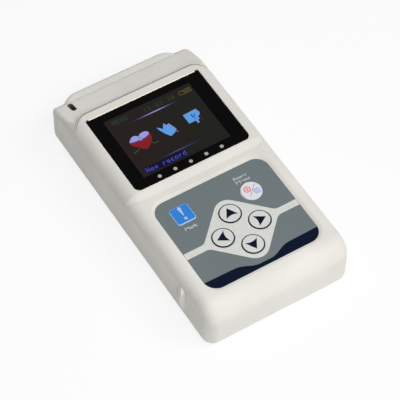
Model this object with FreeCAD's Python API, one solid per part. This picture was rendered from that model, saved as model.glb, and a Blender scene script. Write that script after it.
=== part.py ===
import FreeCAD, Part
import math
import os

# Handheld ECG home monitor, in millimetres.
# +X is the right side, +Y points to the top end (lead socket), +Z is up, out of the screen.
# The origin is the middle of the flat back, which is the face the monitor lies on.

V = FreeCAD.Vector
COS_45 = math.sqrt(0.5)

# ---- walls and fits ----
wall = 1.9
fit_gap = 0.1                # between moulded parts that locate each other
slide_gap = 0.12             # around pieces that slide
thread_gap = 0.02            # around screws in their holes

# ---- display and window ----
display_size = (39.6, 32.6, 3.0)
display_offset = (-0.25, 0.35)  # from the window's centre
display_wall = 0.5
display_lip = 0.3
display_view = (36.2, 29.2)
display_drop = 0.1           # display frame below the window ledge
display_gap = 0.25
pad_margins = (3.0, 5.0, 2.0)  # foam pad inside the display: sides, low end, high end
window_overhang = (6.5, 3.3)  # window beyond the display, in all
window_thickness = 1.0
window_sink = 0.4
window_corners = (2.2, 0.7)  # low corners, high corners
gasket_thickness = 0.2
dot_count = 5
dot_pitch = 6.27
dot_radius = 0.7
dot_thickness = 0.1
dot_inset = 2.06             # from the window's low edge

# ---- keys ----
arrow_radius = 3.95
arrow_spread = 3.39          # arrow keys' edges from the cross's centre
power_radius = 3.9
mark_size = 7.5
mark_corner = 1.2
key_gap = 0.12
key_proud = 0.25
key_edge = 0.3
key_ear = (0.8, 3.0, 0.8)    # ears that hold a key in: reach, width, thickness
key_travel = 0.4
key_slack = 0.05
cross_margin = 16.75         # panel's low edge to the cross's centre
power_rise = 11.8            # from there to the power key
power_margin = 11.35         # from there to the panel's high edge
power_side = 11.09
mark_margin = 7.75
mark_side = 8.4
overlay_corner = 4.9
overlay_thickness = 0.5
overlay_sink = 0.45          # overlay below the keypad field
rim_width = 1.15             # sloped rim around the overlay

# ---- cells, board and switches, which set the case's thickness ----
cell_radius = 5.25
cell_length = 44.5
cell_nub = (1.9, 0.8)
cell_gap = 0.3
door_thickness = 1.6
bay_roof = 1.0
board_clearance = 0.55       # between the bay's roof and the board
board_thickness = 1.2
switch_size = 4.6
switch_body = 1.6
switch_plunger = (1.8, 0.5)  # side and height

# ---- case: width from the window, length and thickness from what lies in a row ----
window_side = 5.55
overlay_side = 6.15
keypad_end_margin = 8.55
keypad_gap = 3.85
slope_run = 2.7
window_low_margin = 0.7
top_strip = 13.8
window_high_margin = 3.0
plateau_rise = 1.2           # screen plateau above the keypad field

window_size = (display_size[0] + window_overhang[0], display_size[1] + window_overhang[1])
case_width = window_size[0] + 2 * window_side
overlay_length = cross_margin + power_rise + power_margin
overlay_size = (case_width - 2 * overlay_side, overlay_length)
keypad_length = keypad_end_margin + overlay_length + keypad_gap
screen_length = window_low_margin + window_size[1] + window_high_margin
case_length = keypad_length + slope_run + screen_length + top_strip
bottom_end = -case_length / 2
top_end = case_length / 2
overlay_low = bottom_end + keypad_end_margin
overlay_high = overlay_low + overlay_length
overlay_centre = (0.0, (overlay_low + overlay_high) / 2)
plateau_low = overlay_high + keypad_gap + slope_run
plateau_high = top_end - top_strip
window_low = plateau_low + window_low_margin
window_centre = (0.0, window_low + window_size[1] / 2)
display_centre = (window_centre[0] + display_offset[0], window_centre[1] + display_offset[1])
dot_row = window_low + dot_inset

cell_z = door_thickness + cell_gap + cell_radius
bay_ceiling = cell_z + cell_radius + cell_gap
board_bottom = bay_ceiling + bay_roof + board_clearance
board_top = board_bottom + board_thickness
switch_top = board_top + switch_body + switch_plunger[1]
ceiling = switch_top + key_slack + key_travel + key_ear[2]
field_height = ceiling + wall
plateau_height = field_height + plateau_rise

overlay_top = field_height - overlay_sink
overlay_floor = overlay_top - overlay_thickness
key_top = overlay_top + key_proud
window_top = plateau_height - window_sink
window_ledge = window_top - window_thickness - gasket_thickness
display_top = window_ledge - display_drop
display_bottom = display_top - display_size[2]
display_low = display_centre[1] - display_size[1] / 2
display_high = display_centre[1] + display_size[1] / 2

cross_centre = (0.0, overlay_low + cross_margin)
cross_offset = arrow_radius + arrow_spread
power_centre = (overlay_size[0] / 2 - power_side, cross_centre[1] + power_rise)
mark_centre = (mark_side - overlay_size[0] / 2, overlay_high - mark_margin)

# ---- the case's rounded form ----
plateau_corner = 7.4
side_round = 4.4             # along both long edges and down the four corners
inner_edge_cut = 1.4         # the same edges inside, cut flat
bottom_end_round = 8.0       # the soft roll at the keypad end
strip_lead = 3.7             # the strip above the screen starts under the plateau's end
strip_bend = 12.0
strip_tilt = math.radians(19.5)
strip_edge_round = 2.2       # along the strip's own sides
top_end_round = 5.4
parting_height = 2.1         # where the two covers meet
back_edge_round = 4.3
back_plate = 2.0
lip_height = 1.4
lip_thickness = 1.0

inner_side = case_width / 2 - wall
strip_start = plateau_high - strip_lead
strip_bend_z = field_height - strip_bend
end_arc_y = top_end - top_end_round
end_arc_fall = (end_arc_y - strip_start) * math.sin(strip_tilt) - strip_bend + top_end_round
end_arc_z = strip_bend_z - end_arc_fall / math.cos(strip_tilt)

# ---- flat cable from the display to the board ----
ribbon_width = 18.0
ribbon_thickness = 0.2
ribbon_start = 3.5           # from the display's low end
ribbon_bend = 0.5
ribbon_socket_size = (20.0, 3.4, 1.1)
ribbon_socket_drop = 4.0     # from the display's low end

ribbon_socket_y = display_low - ribbon_socket_drop

# ---- battery bay and its door ----
contact_thickness = 0.4
contact_plate = (7.2, 7.6)
contact_tab = 2.4
spring_strip = 0.35
spring_reach = 5.4
spring_half_span = 3.1
spring_tip = 1.2
spring_width = 5.0
bay_wall = 1.2
bay_end_margin = 3.5
door_margin = (2.4, 1.3)     # door beyond the bay: sides, high end
door_lip_height = 2.0
tongue_width = 1.2
tongue_low = 0.75
tongue_high = 1.55
frame_thickness = 1.2
frame_margin = 3.0
grip_count = 5
grip_pitch = 1.6
grip_start = 5.0             # from the door's high end
grip_size = (14.0, 0.8, 0.35)

bay_low = bottom_end + bay_end_margin
bay_high = bay_low + contact_thickness + cell_length + spring_reach
bay_half_width = 2 * cell_radius + 2 * cell_gap
cell_x = cell_radius + cell_gap
door_half_width = bay_half_width + door_margin[0]
door_high = bay_high + door_margin[1]
frame_low = door_thickness + fit_gap

# ---- screws that join the covers ----
post_radius = 2.9
post_side = 3.1
post_margins = (7.7, 13.3)   # from the bottom end, from the top end
post_seat = 4.5
screw_radius = 1.0
screw_length = 7.5
screw_head = (1.9, 1.4)

post_x = inner_side - post_side
post_rows = (bottom_end + post_margins[0], top_end - post_margins[1])
posts = [(x, y) for y in post_rows for x in (-post_x, post_x)]

# ---- lead socket at the top end and the block around it ----
block_side = 3.7             # block's full outline inside the case's sides
block_proud = 1.7
block_step = 5.0             # below the keypad field
block_corner = 8.0
block_edge = 1.8             # round along its top
block_foot_edge = 1.2        # cut along its underside
plug_depth = 2.7
plug_side = 3.15             # from the strap slot's middle
plug_heights = (5.3, 4.3)    # below and above the socket's middle
socket_side = 3.0
socket_drop = 4.75           # below the board
socket_height = 7.8
socket_wall = 1.1
socket_floor = 1.0
socket_depth = 7.0
socket_recess = 0.5
socket_corner = 1.6
socket_tail = 6.5
socket_tail_inset = 0.5
pin_columns = 10
pin_pitch = 2.54
pin_size = 0.64
pin_reach = 2.6
pin_tail_margin = 0.6
pin_tail_step = 1.5

# ---- strap slot at the top left corner ----
slot_margins = (6.45, 5.6)   # its middle from the case's side and top end
slot_size = (2.0, 5.0)
slot_drop = 10.1
slot_exit = 2.6
slot_shift = 3.4             # the way out lies this much further from the lead socket
slot_wall = 0.9

slot_centre = (slot_margins[0] - case_width / 2, top_end - slot_margins[1])
slot_floor = field_height - slot_drop
block_half_width = case_width / 2 - block_side
block_high = top_end + block_proud
block_bottom = back_plate + fit_gap
block_top = field_height - block_step
block_low = end_arc_y + math.sqrt(top_end_round ** 2 - (block_top - end_arc_z) ** 2)
socket_z = board_bottom - socket_drop
plug_half_width = -slot_centre[0] - plug_side
plug_span = (socket_z - plug_heights[0], socket_z + plug_heights[1])
socket_half_width = plug_half_width - socket_side
socket_front = block_high - socket_recess
socket_back = socket_front - socket_depth
socket_tail_low = socket_back - socket_tail
pin_tail_low = socket_tail_low + pin_tail_margin

# ---- main board ----
board_side = 2.1
board_margins = (6.1, 9.3)   # from the bottom end, from the top end
board_corner = 1.0
board_notch = 0.3            # around the housing posts
board_post_radius = 2.2
board_post_side = 7.1
board_post_offsets = (2.05, 2.15)  # beyond the overlay's low and high edges
board_screw_radius = 0.8
board_screw_head = (3.2, 1.0)
board_screw_depth = 2.4

board_half_width = inner_side - board_side
board_low = bottom_end + board_margins[0]
board_high = top_end - board_margins[1]
board_post_x = board_half_width - board_post_side
board_post_rows = (overlay_low + board_post_offsets[0], overlay_high + board_post_offsets[1])
board_posts = [(x, y) for y in board_post_rows for x in (-board_post_x, board_post_x)]

# ---- pieces under the board: their middles from its left or right edge, and up the case ----
shield_side = 18.6
shield_share = 0.742         # each share is of the way from the bay to the socket
shield_size = (20.0, 14.0, 2.6)
shield_edge = 0.5
processor_side = 15.6
processor_share = 0.305
processor_size = (12.0, 12.0, 1.2)
converter_side = 12.6
converter_share = 0.908
converter_size = (5.0, 2.0, 1.3)
buzzer_side = 12.6
buzzer_share = 0.719
buzzer_size = (4.5, 3.2)
coin_side = 13.1
coin_share = 0.293
coin_size = (6.25, 2.0)
coin_seat = (14.0, 4.0, 0.6)

shield_x = shield_side - board_half_width
processor_x = processor_side - board_half_width
converter_x = board_half_width - converter_side
buzzer_x = board_half_width - buzzer_side
coin_x = board_half_width - coin_side

# ---- lock slider on the left wall ----
slider_margin = 17.3         # from the bottom end
slider_width = 4.6
slider_proud = 1.45
slider_crest = 1.5           # crest of the thumb rib towards the keypad end
slider_foot = 6.4
slider_head_drop = 3.9       # rib's head below the keypad field
slider_slopes = (2.6, 4.8)   # heights of the rib's low and high slope
slider_stem = (1.3, 5.0)     # along Y, along Z
slider_travel = 2.0
slider_plate = (6.4, 8.0, 1.0)
slider_finger = (1.0, 1.0)
finger_reach = 1.0           # how far the finger goes into its switch
lock_switch_size = (6.8, 8.0, 2.6)
lock_switch_gap = 0.4

slider_y = bottom_end + slider_margin
slider_head = field_height - slider_head_drop
slider_z = (slider_foot + slider_head) / 2


def box(x, y, z):
    """Block between the low and high of x, y and z."""
    return Part.makeBox(x[1] - x[0], y[1] - y[0], z[1] - z[0], V(x[0], y[0], z[0]))


def span(centre, size):
    """Low and high of a length about its centre."""
    return (centre - size / 2, centre + size / 2)


def cylinder(x, y, z, radius):
    """Upright round bar at x, y from the low to the high of z."""
    return Part.makeCylinder(radius, z[1] - z[0], V(x, y, z[0]))


def rounded_outline(x, y, z, low_corner, high_corner):
    """Level rectangle whose corners are rounded, with their own radius at low y and high y."""
    edges = []
    corners = (
        (x[1], y[0], -1, low_corner),
        (x[1], y[1], 1, high_corner),
        (x[0], y[1], 1, high_corner),
        (x[0], y[0], -1, low_corner),
    )
    middle_x = (x[0] + x[1]) / 2
    arcs = []
    for corner_x, corner_y, up, radius in corners:
        side = 1 if corner_x > middle_x else -1
        centre = V(corner_x - side * radius, corner_y - up * radius, z)
        on_side = centre + V(side * radius, 0, 0)
        on_end = centre + V(0, up * radius, 0)
        middle = centre + V(side * radius * COS_45, up * radius * COS_45, 0)
        first, last = (on_end, on_side) if side * up < 0 else (on_side, on_end)
        arcs.append((first, middle, last))
    for index, (first, middle, last) in enumerate(arcs):
        edges.append(Part.Arc(first, middle, last).toShape())
        following = arcs[(index + 1) % len(arcs)][0]
        edges.append(Part.LineSegment(last, following).toShape())
    return Part.Wire(edges)


def rounded_plate(x, y, z, low_corner, high_corner=None):
    """Upright prism on a rounded rectangle."""
    high_corner = low_corner if high_corner is None else high_corner
    outline = rounded_outline(x, y, z[0], low_corner, high_corner)
    return Part.Face(outline).extrude(V(0, 0, z[1] - z[0]))


def polygon_prism(points, direction):
    """Prism on a flat polygon, swept along direction."""
    corners = [V(*point) for point in points]
    return Part.Face(Part.makePolygon(corners + corners[:1])).extrude(V(*direction))


def fuse_all(shapes):
    """One solid from shapes that meet."""
    shapes = list(shapes)
    return shapes[0].fuse(shapes[1:]).removeSplitter()


# ---- the outer form of the case ----

def on_circle(x, centre, radius, angle):
    """Point in the plane of x on a circle; angle runs from straight up towards +Y."""
    y = centre[0] + radius * math.sin(angle)
    z = centre[1] + radius * math.cos(angle)
    return V(x, y, z)


def profile_arc(x, centre, radius, start, finish):
    middle = on_circle(x, centre, radius, (start + finish) / 2)
    first = on_circle(x, centre, radius, start)
    return Part.Arc(first, middle, on_circle(x, centre, radius, finish))


def profile_prism(edges, width):
    outline = Part.Wire([edge.toShape() for edge in edges])
    return Part.Face(outline).extrude(V(width, 0, 0))


def level_block(half_width, inset):
    """The case's side profile without the tilt of the top strip, swept across the width."""
    x = -half_width
    quarter = math.pi / 2
    low = bottom_end + inset
    high = top_end - inset
    top = field_height - inset
    low_radius = bottom_end_round - inset
    high_radius = top_end_round - inset
    low_centre = (low + low_radius, top - low_radius)
    high_centre = (high - high_radius, top - high_radius)
    low_wall = on_circle(x, low_centre, low_radius, -quarter)
    low_top = on_circle(x, low_centre, low_radius, 0)
    high_top = on_circle(x, high_centre, high_radius, 0)
    high_wall = on_circle(x, high_centre, high_radius, quarter)
    edges = [
        Part.LineSegment(V(x, low, 0), low_wall),
        profile_arc(x, low_centre, low_radius, -quarter, 0),
        Part.LineSegment(low_top, high_top),
        profile_arc(x, high_centre, high_radius, 0, quarter),
        Part.LineSegment(high_wall, V(x, high, 0)),
        Part.LineSegment(V(x, high, 0), V(x, low, 0)),
    ]
    return profile_prism(edges, 2 * half_width)


def side_edges(block, half_width):
    """A swept block's edges on its two sides, without those of its underside."""
    edges = []
    for edge in block.Edges:
        middle = edge.valueAt((edge.FirstParameter + edge.LastParameter) / 2)
        if abs(abs(middle.x) - half_width) < 1e-6 and middle.z > 1e-6:
            edges.append(edge)
    return edges


def strip_prism(half_width, inset):
    """Everything below the keypad field, the tilted strip and the round top end."""
    x = -half_width
    quarter = math.pi / 2
    low = -case_length
    high = top_end - inset
    bend_centre = (strip_start, strip_bend_z)
    bend_radius = strip_bend - inset
    end_centre = (end_arc_y, end_arc_z)
    end_radius = top_end_round - inset
    bend_start = on_circle(x, bend_centre, bend_radius, 0)
    bend_end = on_circle(x, bend_centre, bend_radius, strip_tilt)
    strip_end = on_circle(x, end_centre, end_radius, strip_tilt)
    high_wall = on_circle(x, end_centre, end_radius, quarter)
    edges = [
        Part.LineSegment(V(x, low, 0), V(x, low, bend_start.z)),
        Part.LineSegment(V(x, low, bend_start.z), bend_start),
        profile_arc(x, bend_centre, bend_radius, 0, strip_tilt),
        Part.LineSegment(bend_end, strip_end),
        profile_arc(x, end_centre, end_radius, strip_tilt, quarter),
        Part.LineSegment(high_wall, V(x, high, 0)),
        Part.LineSegment(V(x, high, 0), V(x, low, 0)),
    ]
    return profile_prism(edges, 2 * half_width)


def case_block(inset=0.0):
    """The case without its plateau, shrunk by inset on every side but the back.

    The outside has round edges, and the forms inside it have flat-cut ones.
    """
    half_width = case_width / 2 - inset
    block = level_block(half_width, inset)
    edges = side_edges(block, half_width)
    if inset:
        cut = inner_edge_cut - (2 - math.sqrt(2)) * (inset - wall)
        return block.makeChamfer(cut, edges).common(strip_prism(case_width, inset))
    strip = strip_prism(half_width, 0)
    strip = strip.makeFillet(strip_edge_round, side_edges(strip, half_width))
    return block.makeFillet(side_round, edges).common(strip)


def plateau_section(y):
    """Upright cross-section of the case at the screen; its round sides end in the case's walls."""
    side = case_width / 2
    radius = side_round + plateau_rise
    flat = side - radius
    shoulder = plateau_height - radius
    foot = shoulder - wall
    bulge = radius * COS_45
    left_arc = Part.Arc(
        V(-side, y, shoulder),
        V(-flat - bulge, y, shoulder + bulge),
        V(-flat, y, plateau_height),
    )
    right_arc = Part.Arc(
        V(flat, y, plateau_height),
        V(flat + bulge, y, shoulder + bulge),
        V(side, y, shoulder),
    )
    edges = [
        Part.LineSegment(V(-side, y, foot), V(-side, y, shoulder)),
        left_arc,
        Part.LineSegment(V(-flat, y, plateau_height), V(flat, y, plateau_height)),
        right_arc,
        Part.LineSegment(V(side, y, shoulder), V(side, y, foot)),
        Part.LineSegment(V(side, y, foot), V(-side, y, foot)),
    ]
    return Part.Face(Part.Wire([edge.toShape() for edge in edges]))


def plateau_block():
    """The raised screen area, rounded at its top corners, and the slope down to the keypad."""
    section = plateau_section(plateau_low)
    shoulder = section.extrude(V(0, plateau_high - plateau_low, 0))
    outline = rounded_plate(
        (-case_width / 2, case_width / 2),
        (plateau_low - 2 * plateau_corner, plateau_high),
        (0, plateau_height + wall),
        plateau_corner,
    )
    slope = section.extrude(V(0, -slope_run, -plateau_rise))
    return shoulder.common(outline), slope


def outer_form():
    """The whole closed case, with its back edge rounded."""
    block = case_block()
    back_edges = [edge for edge in block.Edges if edge.BoundBox.ZMax < 1e-6]
    block = block.makeFillet(back_edge_round, back_edges)
    shoulder, slope = plateau_block()
    return fuse_all([block, shoulder, slope])


# ---- keys: one outline each, used by the cap, the holes and the switch below ----

def round_key(centre, radius):
    def outline(grow, z):
        return cylinder(centre[0], centre[1], z, radius + grow)
    return centre, outline


def square_key(centre, size, corner):
    def outline(grow, z):
        side = size + 2 * grow
        return rounded_plate(span(centre[0], side), span(centre[1], side), z, corner + max(grow, 0))
    return centre, outline


def all_keys():
    x, y = cross_centre
    return {
        "key_up": round_key((x, y + cross_offset), arrow_radius),
        "key_right": round_key((x + cross_offset, y), arrow_radius),
        "key_down": round_key((x, y - cross_offset), arrow_radius),
        "key_left": round_key((x - cross_offset, y), arrow_radius),
        "key_power": round_key(power_centre, power_radius),
        "key_mark": square_key(mark_centre, mark_size, mark_corner),
    }


def key_cap(centre, outline):
    """Cap that stands a little proud of the overlay, with an eased top edge and two ears below."""
    reach, width, thickness = key_ear
    cap = outline(0, (ceiling - thickness, key_top))
    top_edges = [edge for edge in cap.Edges if edge.BoundBox.ZMin > key_top - 1e-6]
    cap = cap.makeChamfer(key_edge, top_edges)
    ears_x = span(centre[0], cap.BoundBox.XLength + 2 * reach)
    ears = box(ears_x, span(centre[1], width), (ceiling - thickness, ceiling))
    return fuse_all([cap, ears])


# ---- front cover ----

def overlay_recess():
    """Pocket for the overlay with the sloped rim around it."""
    x = span(overlay_centre[0], overlay_size[0] + 2 * fit_gap)
    y = span(overlay_centre[1], overlay_size[1] + 2 * fit_gap)
    corner = overlay_corner + fit_gap
    pocket = rounded_plate(x, y, (overlay_floor, field_height + 1), corner)
    inner = rounded_outline(x, y, overlay_top, corner, corner)
    wide_x = (x[0] - rim_width, x[1] + rim_width)
    wide_y = (y[0] - rim_width, y[1] + rim_width)
    outer = rounded_outline(wide_x, wide_y, field_height, corner + rim_width, corner + rim_width)
    rim = Part.makeLoft([inner, outer], True, True)
    return [pocket, rim]


def window_recess():
    x = span(window_centre[0], window_size[0] + 2 * fit_gap)
    y = span(window_centre[1], window_size[1] + 2 * fit_gap)
    low, high = window_corners
    return rounded_plate(x, y, (window_ledge, plateau_height + 1), low + fit_gap, high + fit_gap)


def display_opening():
    x = span(display_centre[0], display_size[0] + 2 * display_gap)
    y = span(display_centre[1], display_size[1] + 2 * display_gap)
    return box(x, y, (ceiling - 1, plateau_height + 1))


def strap_pocket():
    """Solid corner that the strap slot runs through."""
    x = span(slot_centre[0], slot_size[0] + 2 * slot_wall)
    y = (slot_centre[1] - slot_size[1] / 2 - slot_wall, top_end - wall + fit_gap)
    return box((x[0] - slot_shift, x[1]), y, (slot_floor - slot_wall, field_height - wall / 2))


def strap_slot():
    """Channel from the front face, sideways, and out through the top end beside the socket."""
    x = span(slot_centre[0], slot_size[0])
    y = span(slot_centre[1], slot_size[1])
    z = (slot_floor, slot_floor + slot_exit)
    outer_x = (x[0] - slot_shift, x[1] - slot_shift)
    down = rounded_plate(x, y, (slot_floor, field_height + 1), slot_size[0] * 0.49)
    turn = box((outer_x[0], x[1]), y, z)
    out = box(outer_x, (slot_centre[1], top_end + 1), z)
    return [down, turn, out]


def block_outline(grow, z):
    """Plan form of the connector block with its large round corners; the case hides most of it."""
    across = block_half_width + grow
    y = (block_high - 3 * block_corner - grow, block_high + grow)
    return rounded_plate((-across, across), y, z, block_corner + grow)


def block_notch():
    """Opening in the top end that the connector block fills, open towards the back."""
    beyond = box((-case_width, case_width), (block_low - fit_gap, case_length), (-1, case_width))
    notch = block_outline(fit_gap, (0, plateau_height + 1)).common(beyond)
    inside = plug_half_width + fit_gap
    plug_y = (block_low - plug_depth, block_low)
    passage = box((-inside, inside), plug_y, (0, plug_span[1] + fit_gap))
    return [notch, passage]


def slider_slot():
    """Slot in the left wall for the slider's stem, as long as its travel."""
    stem_y = span(slider_y, slider_stem[0] + 2 * slide_gap)
    y = (stem_y[0], stem_y[1] + slider_travel)
    z = span(slider_z, slider_stem[1] + 2 * slide_gap)
    return box((-case_width / 2 - 1, -inner_side + 1), y, z)


def front_cover():
    cover = outer_form().cut(case_block(wall))
    pillars = [cylinder(x, y, (post_seat, field_height), post_radius) for x, y in posts]
    inner_solids = Part.makeCompound(pillars + [strap_pocket()]).common(case_block(wall / 2))
    feet_z = (board_top, ceiling + wall / 4)
    feet = [cylinder(x, y, feet_z, board_post_radius) for x, y in board_posts]
    cover = fuse_all([cover] + inner_solids.Solids + feet)
    cuts = [box((-case_width, case_width), (-case_length, case_length), (-1, parting_height))]
    cuts += overlay_recess() + [window_recess(), display_opening()]
    cuts += strap_slot() + block_notch() + [slider_slot()]
    for _, outline in all_keys().values():
        cuts.append(outline(key_gap, (ceiling - 1, field_height + 1)))
    for x, y in posts:
        hole_z = (post_seat - 1, back_plate + screw_length + 1)
        cuts.append(cylinder(x, y, hole_z, screw_radius + thread_gap))
    for x, y in board_posts:
        hole_z = (board_top - 1, board_top + board_screw_depth)
        cuts.append(cylinder(x, y, hole_z, board_screw_radius + thread_gap))
    return cover.cut(cuts)


# ---- back cover, door and battery bay ----

def door_path(grow):
    """The room that the door slides in: its plate and its side and front tongues."""
    low = bottom_end - 1
    plate_x = (-door_half_width - grow, door_half_width + grow)
    plate = box(plate_x, (low, door_high + grow), (-1, door_thickness + grow))
    reach = door_half_width + tongue_width + grow
    tongue_top = door_high + tongue_width + grow
    tongue = box((-reach, reach), (low, tongue_top), (tongue_low - grow, tongue_high + grow))
    return [plate, tongue]


def battery_door():
    """Flat door that slides off the bottom end, with thumb grooves and a turned-up end lip."""
    low = bottom_end
    plate_x = (-door_half_width, door_half_width)
    plate = box(plate_x, (low, door_high), (0, door_thickness))
    lip = box(plate_x, (low, low + wall - fit_gap), (0, door_lip_height))
    reach = door_half_width + tongue_width
    tongue_y = (low + wall, door_high + tongue_width)
    tongue = box((-reach, reach), tongue_y, (tongue_low, tongue_high))
    door = fuse_all([plate, lip, tongue]).common(outer_form())
    grooves = []
    for index in range(grip_count):
        y = door_high - grip_start - index * grip_pitch
        grooves.append(box(span(0, grip_size[0]), span(y, grip_size[1]), (-1, grip_size[2])))
    return door.cut(grooves)


def battery_bay():
    """Tray for the two cells, open towards the door, and the frame that carries it."""
    bay_x = bay_half_width + bay_wall
    bay_y = (bay_low - bay_wall, bay_high + bay_wall)
    tray = box((-bay_x, bay_x), bay_y, (frame_low, bay_ceiling + bay_roof))
    frame_x = door_half_width + frame_margin
    frame_y = (bay_low - bay_wall, door_high + frame_margin)
    frame = box((-frame_x, frame_x), frame_y, (frame_low, frame_low + frame_thickness))
    return [tray, frame]


def bay_hollow():
    return box((-bay_half_width, bay_half_width), (bay_low, bay_high), (0, bay_ceiling))


def contact_tab_slots():
    """Slots in the bay roof for the two tabs that rise to the board."""
    slot_y = (bay_high - contact_thickness - fit_gap, bay_high)
    slot_z = (bay_ceiling - 1, bay_ceiling + bay_roof + 1)
    return [box(span(x, contact_tab + 2 * fit_gap), slot_y, slot_z) for x in (-cell_x, cell_x)]


def back_cover():
    across = (-case_width, case_width)
    along = (-case_length, case_length)
    plate = outer_form().common(box(across, along, (0, parting_height)))
    plate = plate.cut(case_block(wall).common(box(across, along, (back_plate, parting_height + 1))))
    lip_slab = box(across, along, (back_plate - wall / 4, parting_height + lip_height))
    lip = case_block(wall + fit_gap).cut(case_block(wall + fit_gap + lip_thickness)).common(lip_slab)
    pillars = [cylinder(x, y, (back_plate / 2, post_seat), post_radius - fit_gap) for x, y in posts]
    pillars = Part.makeCompound(pillars).common(case_block(wall + fit_gap)).Solids
    cover = fuse_all([plate, lip] + pillars + battery_bay())
    reach_x = (-block_half_width, block_half_width)
    reach_y = (block_low - plug_depth - fit_gap, case_length)
    reach = box(reach_x, reach_y, (back_plate, post_seat))
    under_block = block_outline(fit_gap, (back_plate, post_seat)).common(reach)
    door_x = (-door_half_width - slide_gap, door_half_width + slide_gap)
    lip_y = (-case_length, bottom_end + wall - fit_gap / 2)
    behind_lip = box(door_x, lip_y, (-1, parting_height))
    cuts = [under_block, behind_lip, bay_hollow()] + door_path(slide_gap) + contact_tab_slots()
    for x, y in posts:
        cuts.append(cylinder(x, y, (-1, post_seat + 1), screw_radius + fit_gap))
        cuts.append(cylinder(x, y, (-1, back_plate), screw_head[0] + fit_gap))
    return cover.cut(cuts)


def battery_cell(x, nub_up):
    """AAA cell along Y, its nub towards +Y when nub_up is true."""
    along = V(0, 1, 0)
    can_length = cell_length - cell_nub[1]
    if nub_up:
        can_start = bay_high - contact_thickness - cell_length
        nub_start = can_start + can_length
    else:
        nub_start = bay_low + contact_thickness
        can_start = nub_start + cell_nub[1]
    can = Part.makeCylinder(cell_radius, can_length, V(x, can_start, cell_z), along)
    nub = Part.makeCylinder(cell_nub[0], cell_nub[1], V(x, nub_start, cell_z), along)
    return fuse_all([can, nub])


def leaf_spring(x, y, inward):
    """Folded contact strip whose flat tip meets a cell's flat end; inward is +1 or -1 along Y."""
    side = x - spring_width / 2
    reach = inward * (spring_reach - contact_thickness / 2)
    strip = inward * spring_strip
    tip = spring_tip
    inner_span = spring_half_span - 2 * spring_strip
    inner_tip = spring_tip - spring_strip / 2
    points = [
        (side, y, cell_z - spring_half_span),
        (side, y + reach, cell_z - tip),
        (side, y + reach, cell_z + tip),
        (side, y, cell_z + spring_half_span),
        (side, y, cell_z + inner_span),
        (side, y + reach - strip, cell_z + inner_tip),
        (side, y + reach - strip, cell_z - inner_tip),
        (side, y, cell_z - inner_span),
    ]
    return polygon_prism(points, (spring_width, 0, 0))


def battery_bridge():
    """Plate at the bottom end that joins the two cells."""
    plate_x = span(0, 2 * cell_x + contact_plate[0])
    plate_y = (bay_low, bay_low + contact_thickness)
    plate = box(plate_x, plate_y, span(cell_z, contact_plate[1]))
    return fuse_all([plate, leaf_spring(-cell_x, bay_low + contact_thickness / 2, 1)])


def board_contact(x, with_spring):
    """Plate at the top end of the bay with a tab up to the board."""
    y = (bay_high - contact_thickness, bay_high)
    plate = box(span(x, contact_plate[0]), y, span(cell_z, contact_plate[1]))
    tab = box(span(x, contact_tab), y, (cell_z, board_bottom))
    pieces = [plate, tab]
    if with_spring:
        pieces.append(leaf_spring(x, bay_high - contact_thickness / 2, -1))
    return fuse_all(pieces)


# ---- screen pieces ----

def screen_window():
    x = span(window_centre[0], window_size[0])
    y = span(window_centre[1], window_size[1])
    low, high = window_corners
    return rounded_plate(x, y, (window_top - window_thickness, window_top), low, high)


def dot_places():
    first = display_centre[0] - dot_pitch * (dot_count - 1) / 2
    return [first + index * dot_pitch for index in range(dot_count)]


def indicator_dots():
    """Thin silver discs on the window's face."""
    dot_z = (window_top, window_top + dot_thickness)
    return Part.makeCompound([cylinder(x, dot_row, dot_z, dot_radius) for x in dot_places()])


def window_gasket():
    x = span(window_centre[0], window_size[0] - 2 * fit_gap)
    y = span(window_centre[1], window_size[1] - 2 * fit_gap)
    low, high = window_corners
    ring = rounded_plate(x, y, (window_ledge, window_ledge + gasket_thickness), low, high)
    return ring.cut(display_opening())


def display_inside():
    """The room inside the display's metal frame."""
    x = span(display_centre[0], display_size[0] - 2 * display_wall)
    y = span(display_centre[1], display_size[1] - 2 * display_wall)
    return box(x, y, (display_bottom + display_lip, display_top - display_lip))


def display_frame():
    x = span(display_centre[0], display_size[0])
    y = span(display_centre[1], display_size[1])
    shell = box(x, y, (display_bottom, display_top))
    view_x = span(display_centre[0], display_view[0])
    view_y = span(display_centre[1], display_view[1])
    view = box(view_x, view_y, (display_top - 2 * display_lip, display_top + 1))
    return shell.cut([display_inside(), view])


def display_glass():
    return display_inside()


def display_pad():
    sides, low_end, high_end = pad_margins
    x = span(display_centre[0], display_size[0] - 2 * sides)
    return box(x, (display_low + low_end, display_high - high_end), (board_top, display_bottom))


def display_ribbon():
    """Flat cable from under the display, down and into its socket on the board."""
    left = display_centre[0] - ribbon_width / 2
    start_y = display_low + ribbon_start
    bend_y = display_low + ribbon_bend
    end_y = ribbon_socket_y + ribbon_socket_size[1] / 2
    top = display_bottom
    low = board_top + ribbon_socket_size[2] / 2
    points = [
        (left, start_y, top),
        (left, bend_y, top),
        (left, end_y, low + ribbon_thickness),
        (left, end_y, low),
        (left, bend_y, top - ribbon_thickness),
        (left, start_y, top - ribbon_thickness),
    ]
    return polygon_prism(points, (ribbon_width, 0, 0))


def ribbon_socket():
    x = span(display_centre[0], ribbon_socket_size[0])
    y = span(ribbon_socket_y, ribbon_socket_size[1])
    return box(x, y, (board_top, board_top + ribbon_socket_size[2]))


# ---- board and what it carries ----

def main_board():
    """Board with a square notch at each housing post."""
    x = (-board_half_width, board_half_width)
    board = rounded_plate(x, (board_low, board_high), (board_bottom, board_top), board_corner)
    through = (board_bottom - 1, board_top + 1)
    notch_size = 2 * (post_radius + board_notch)
    notches = [box(span(x, notch_size), span(y, notch_size), through) for x, y in posts]
    holes = [cylinder(x, y, through, board_screw_radius + thread_gap) for x, y in board_posts]
    return board.cut(notches + holes)


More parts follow.
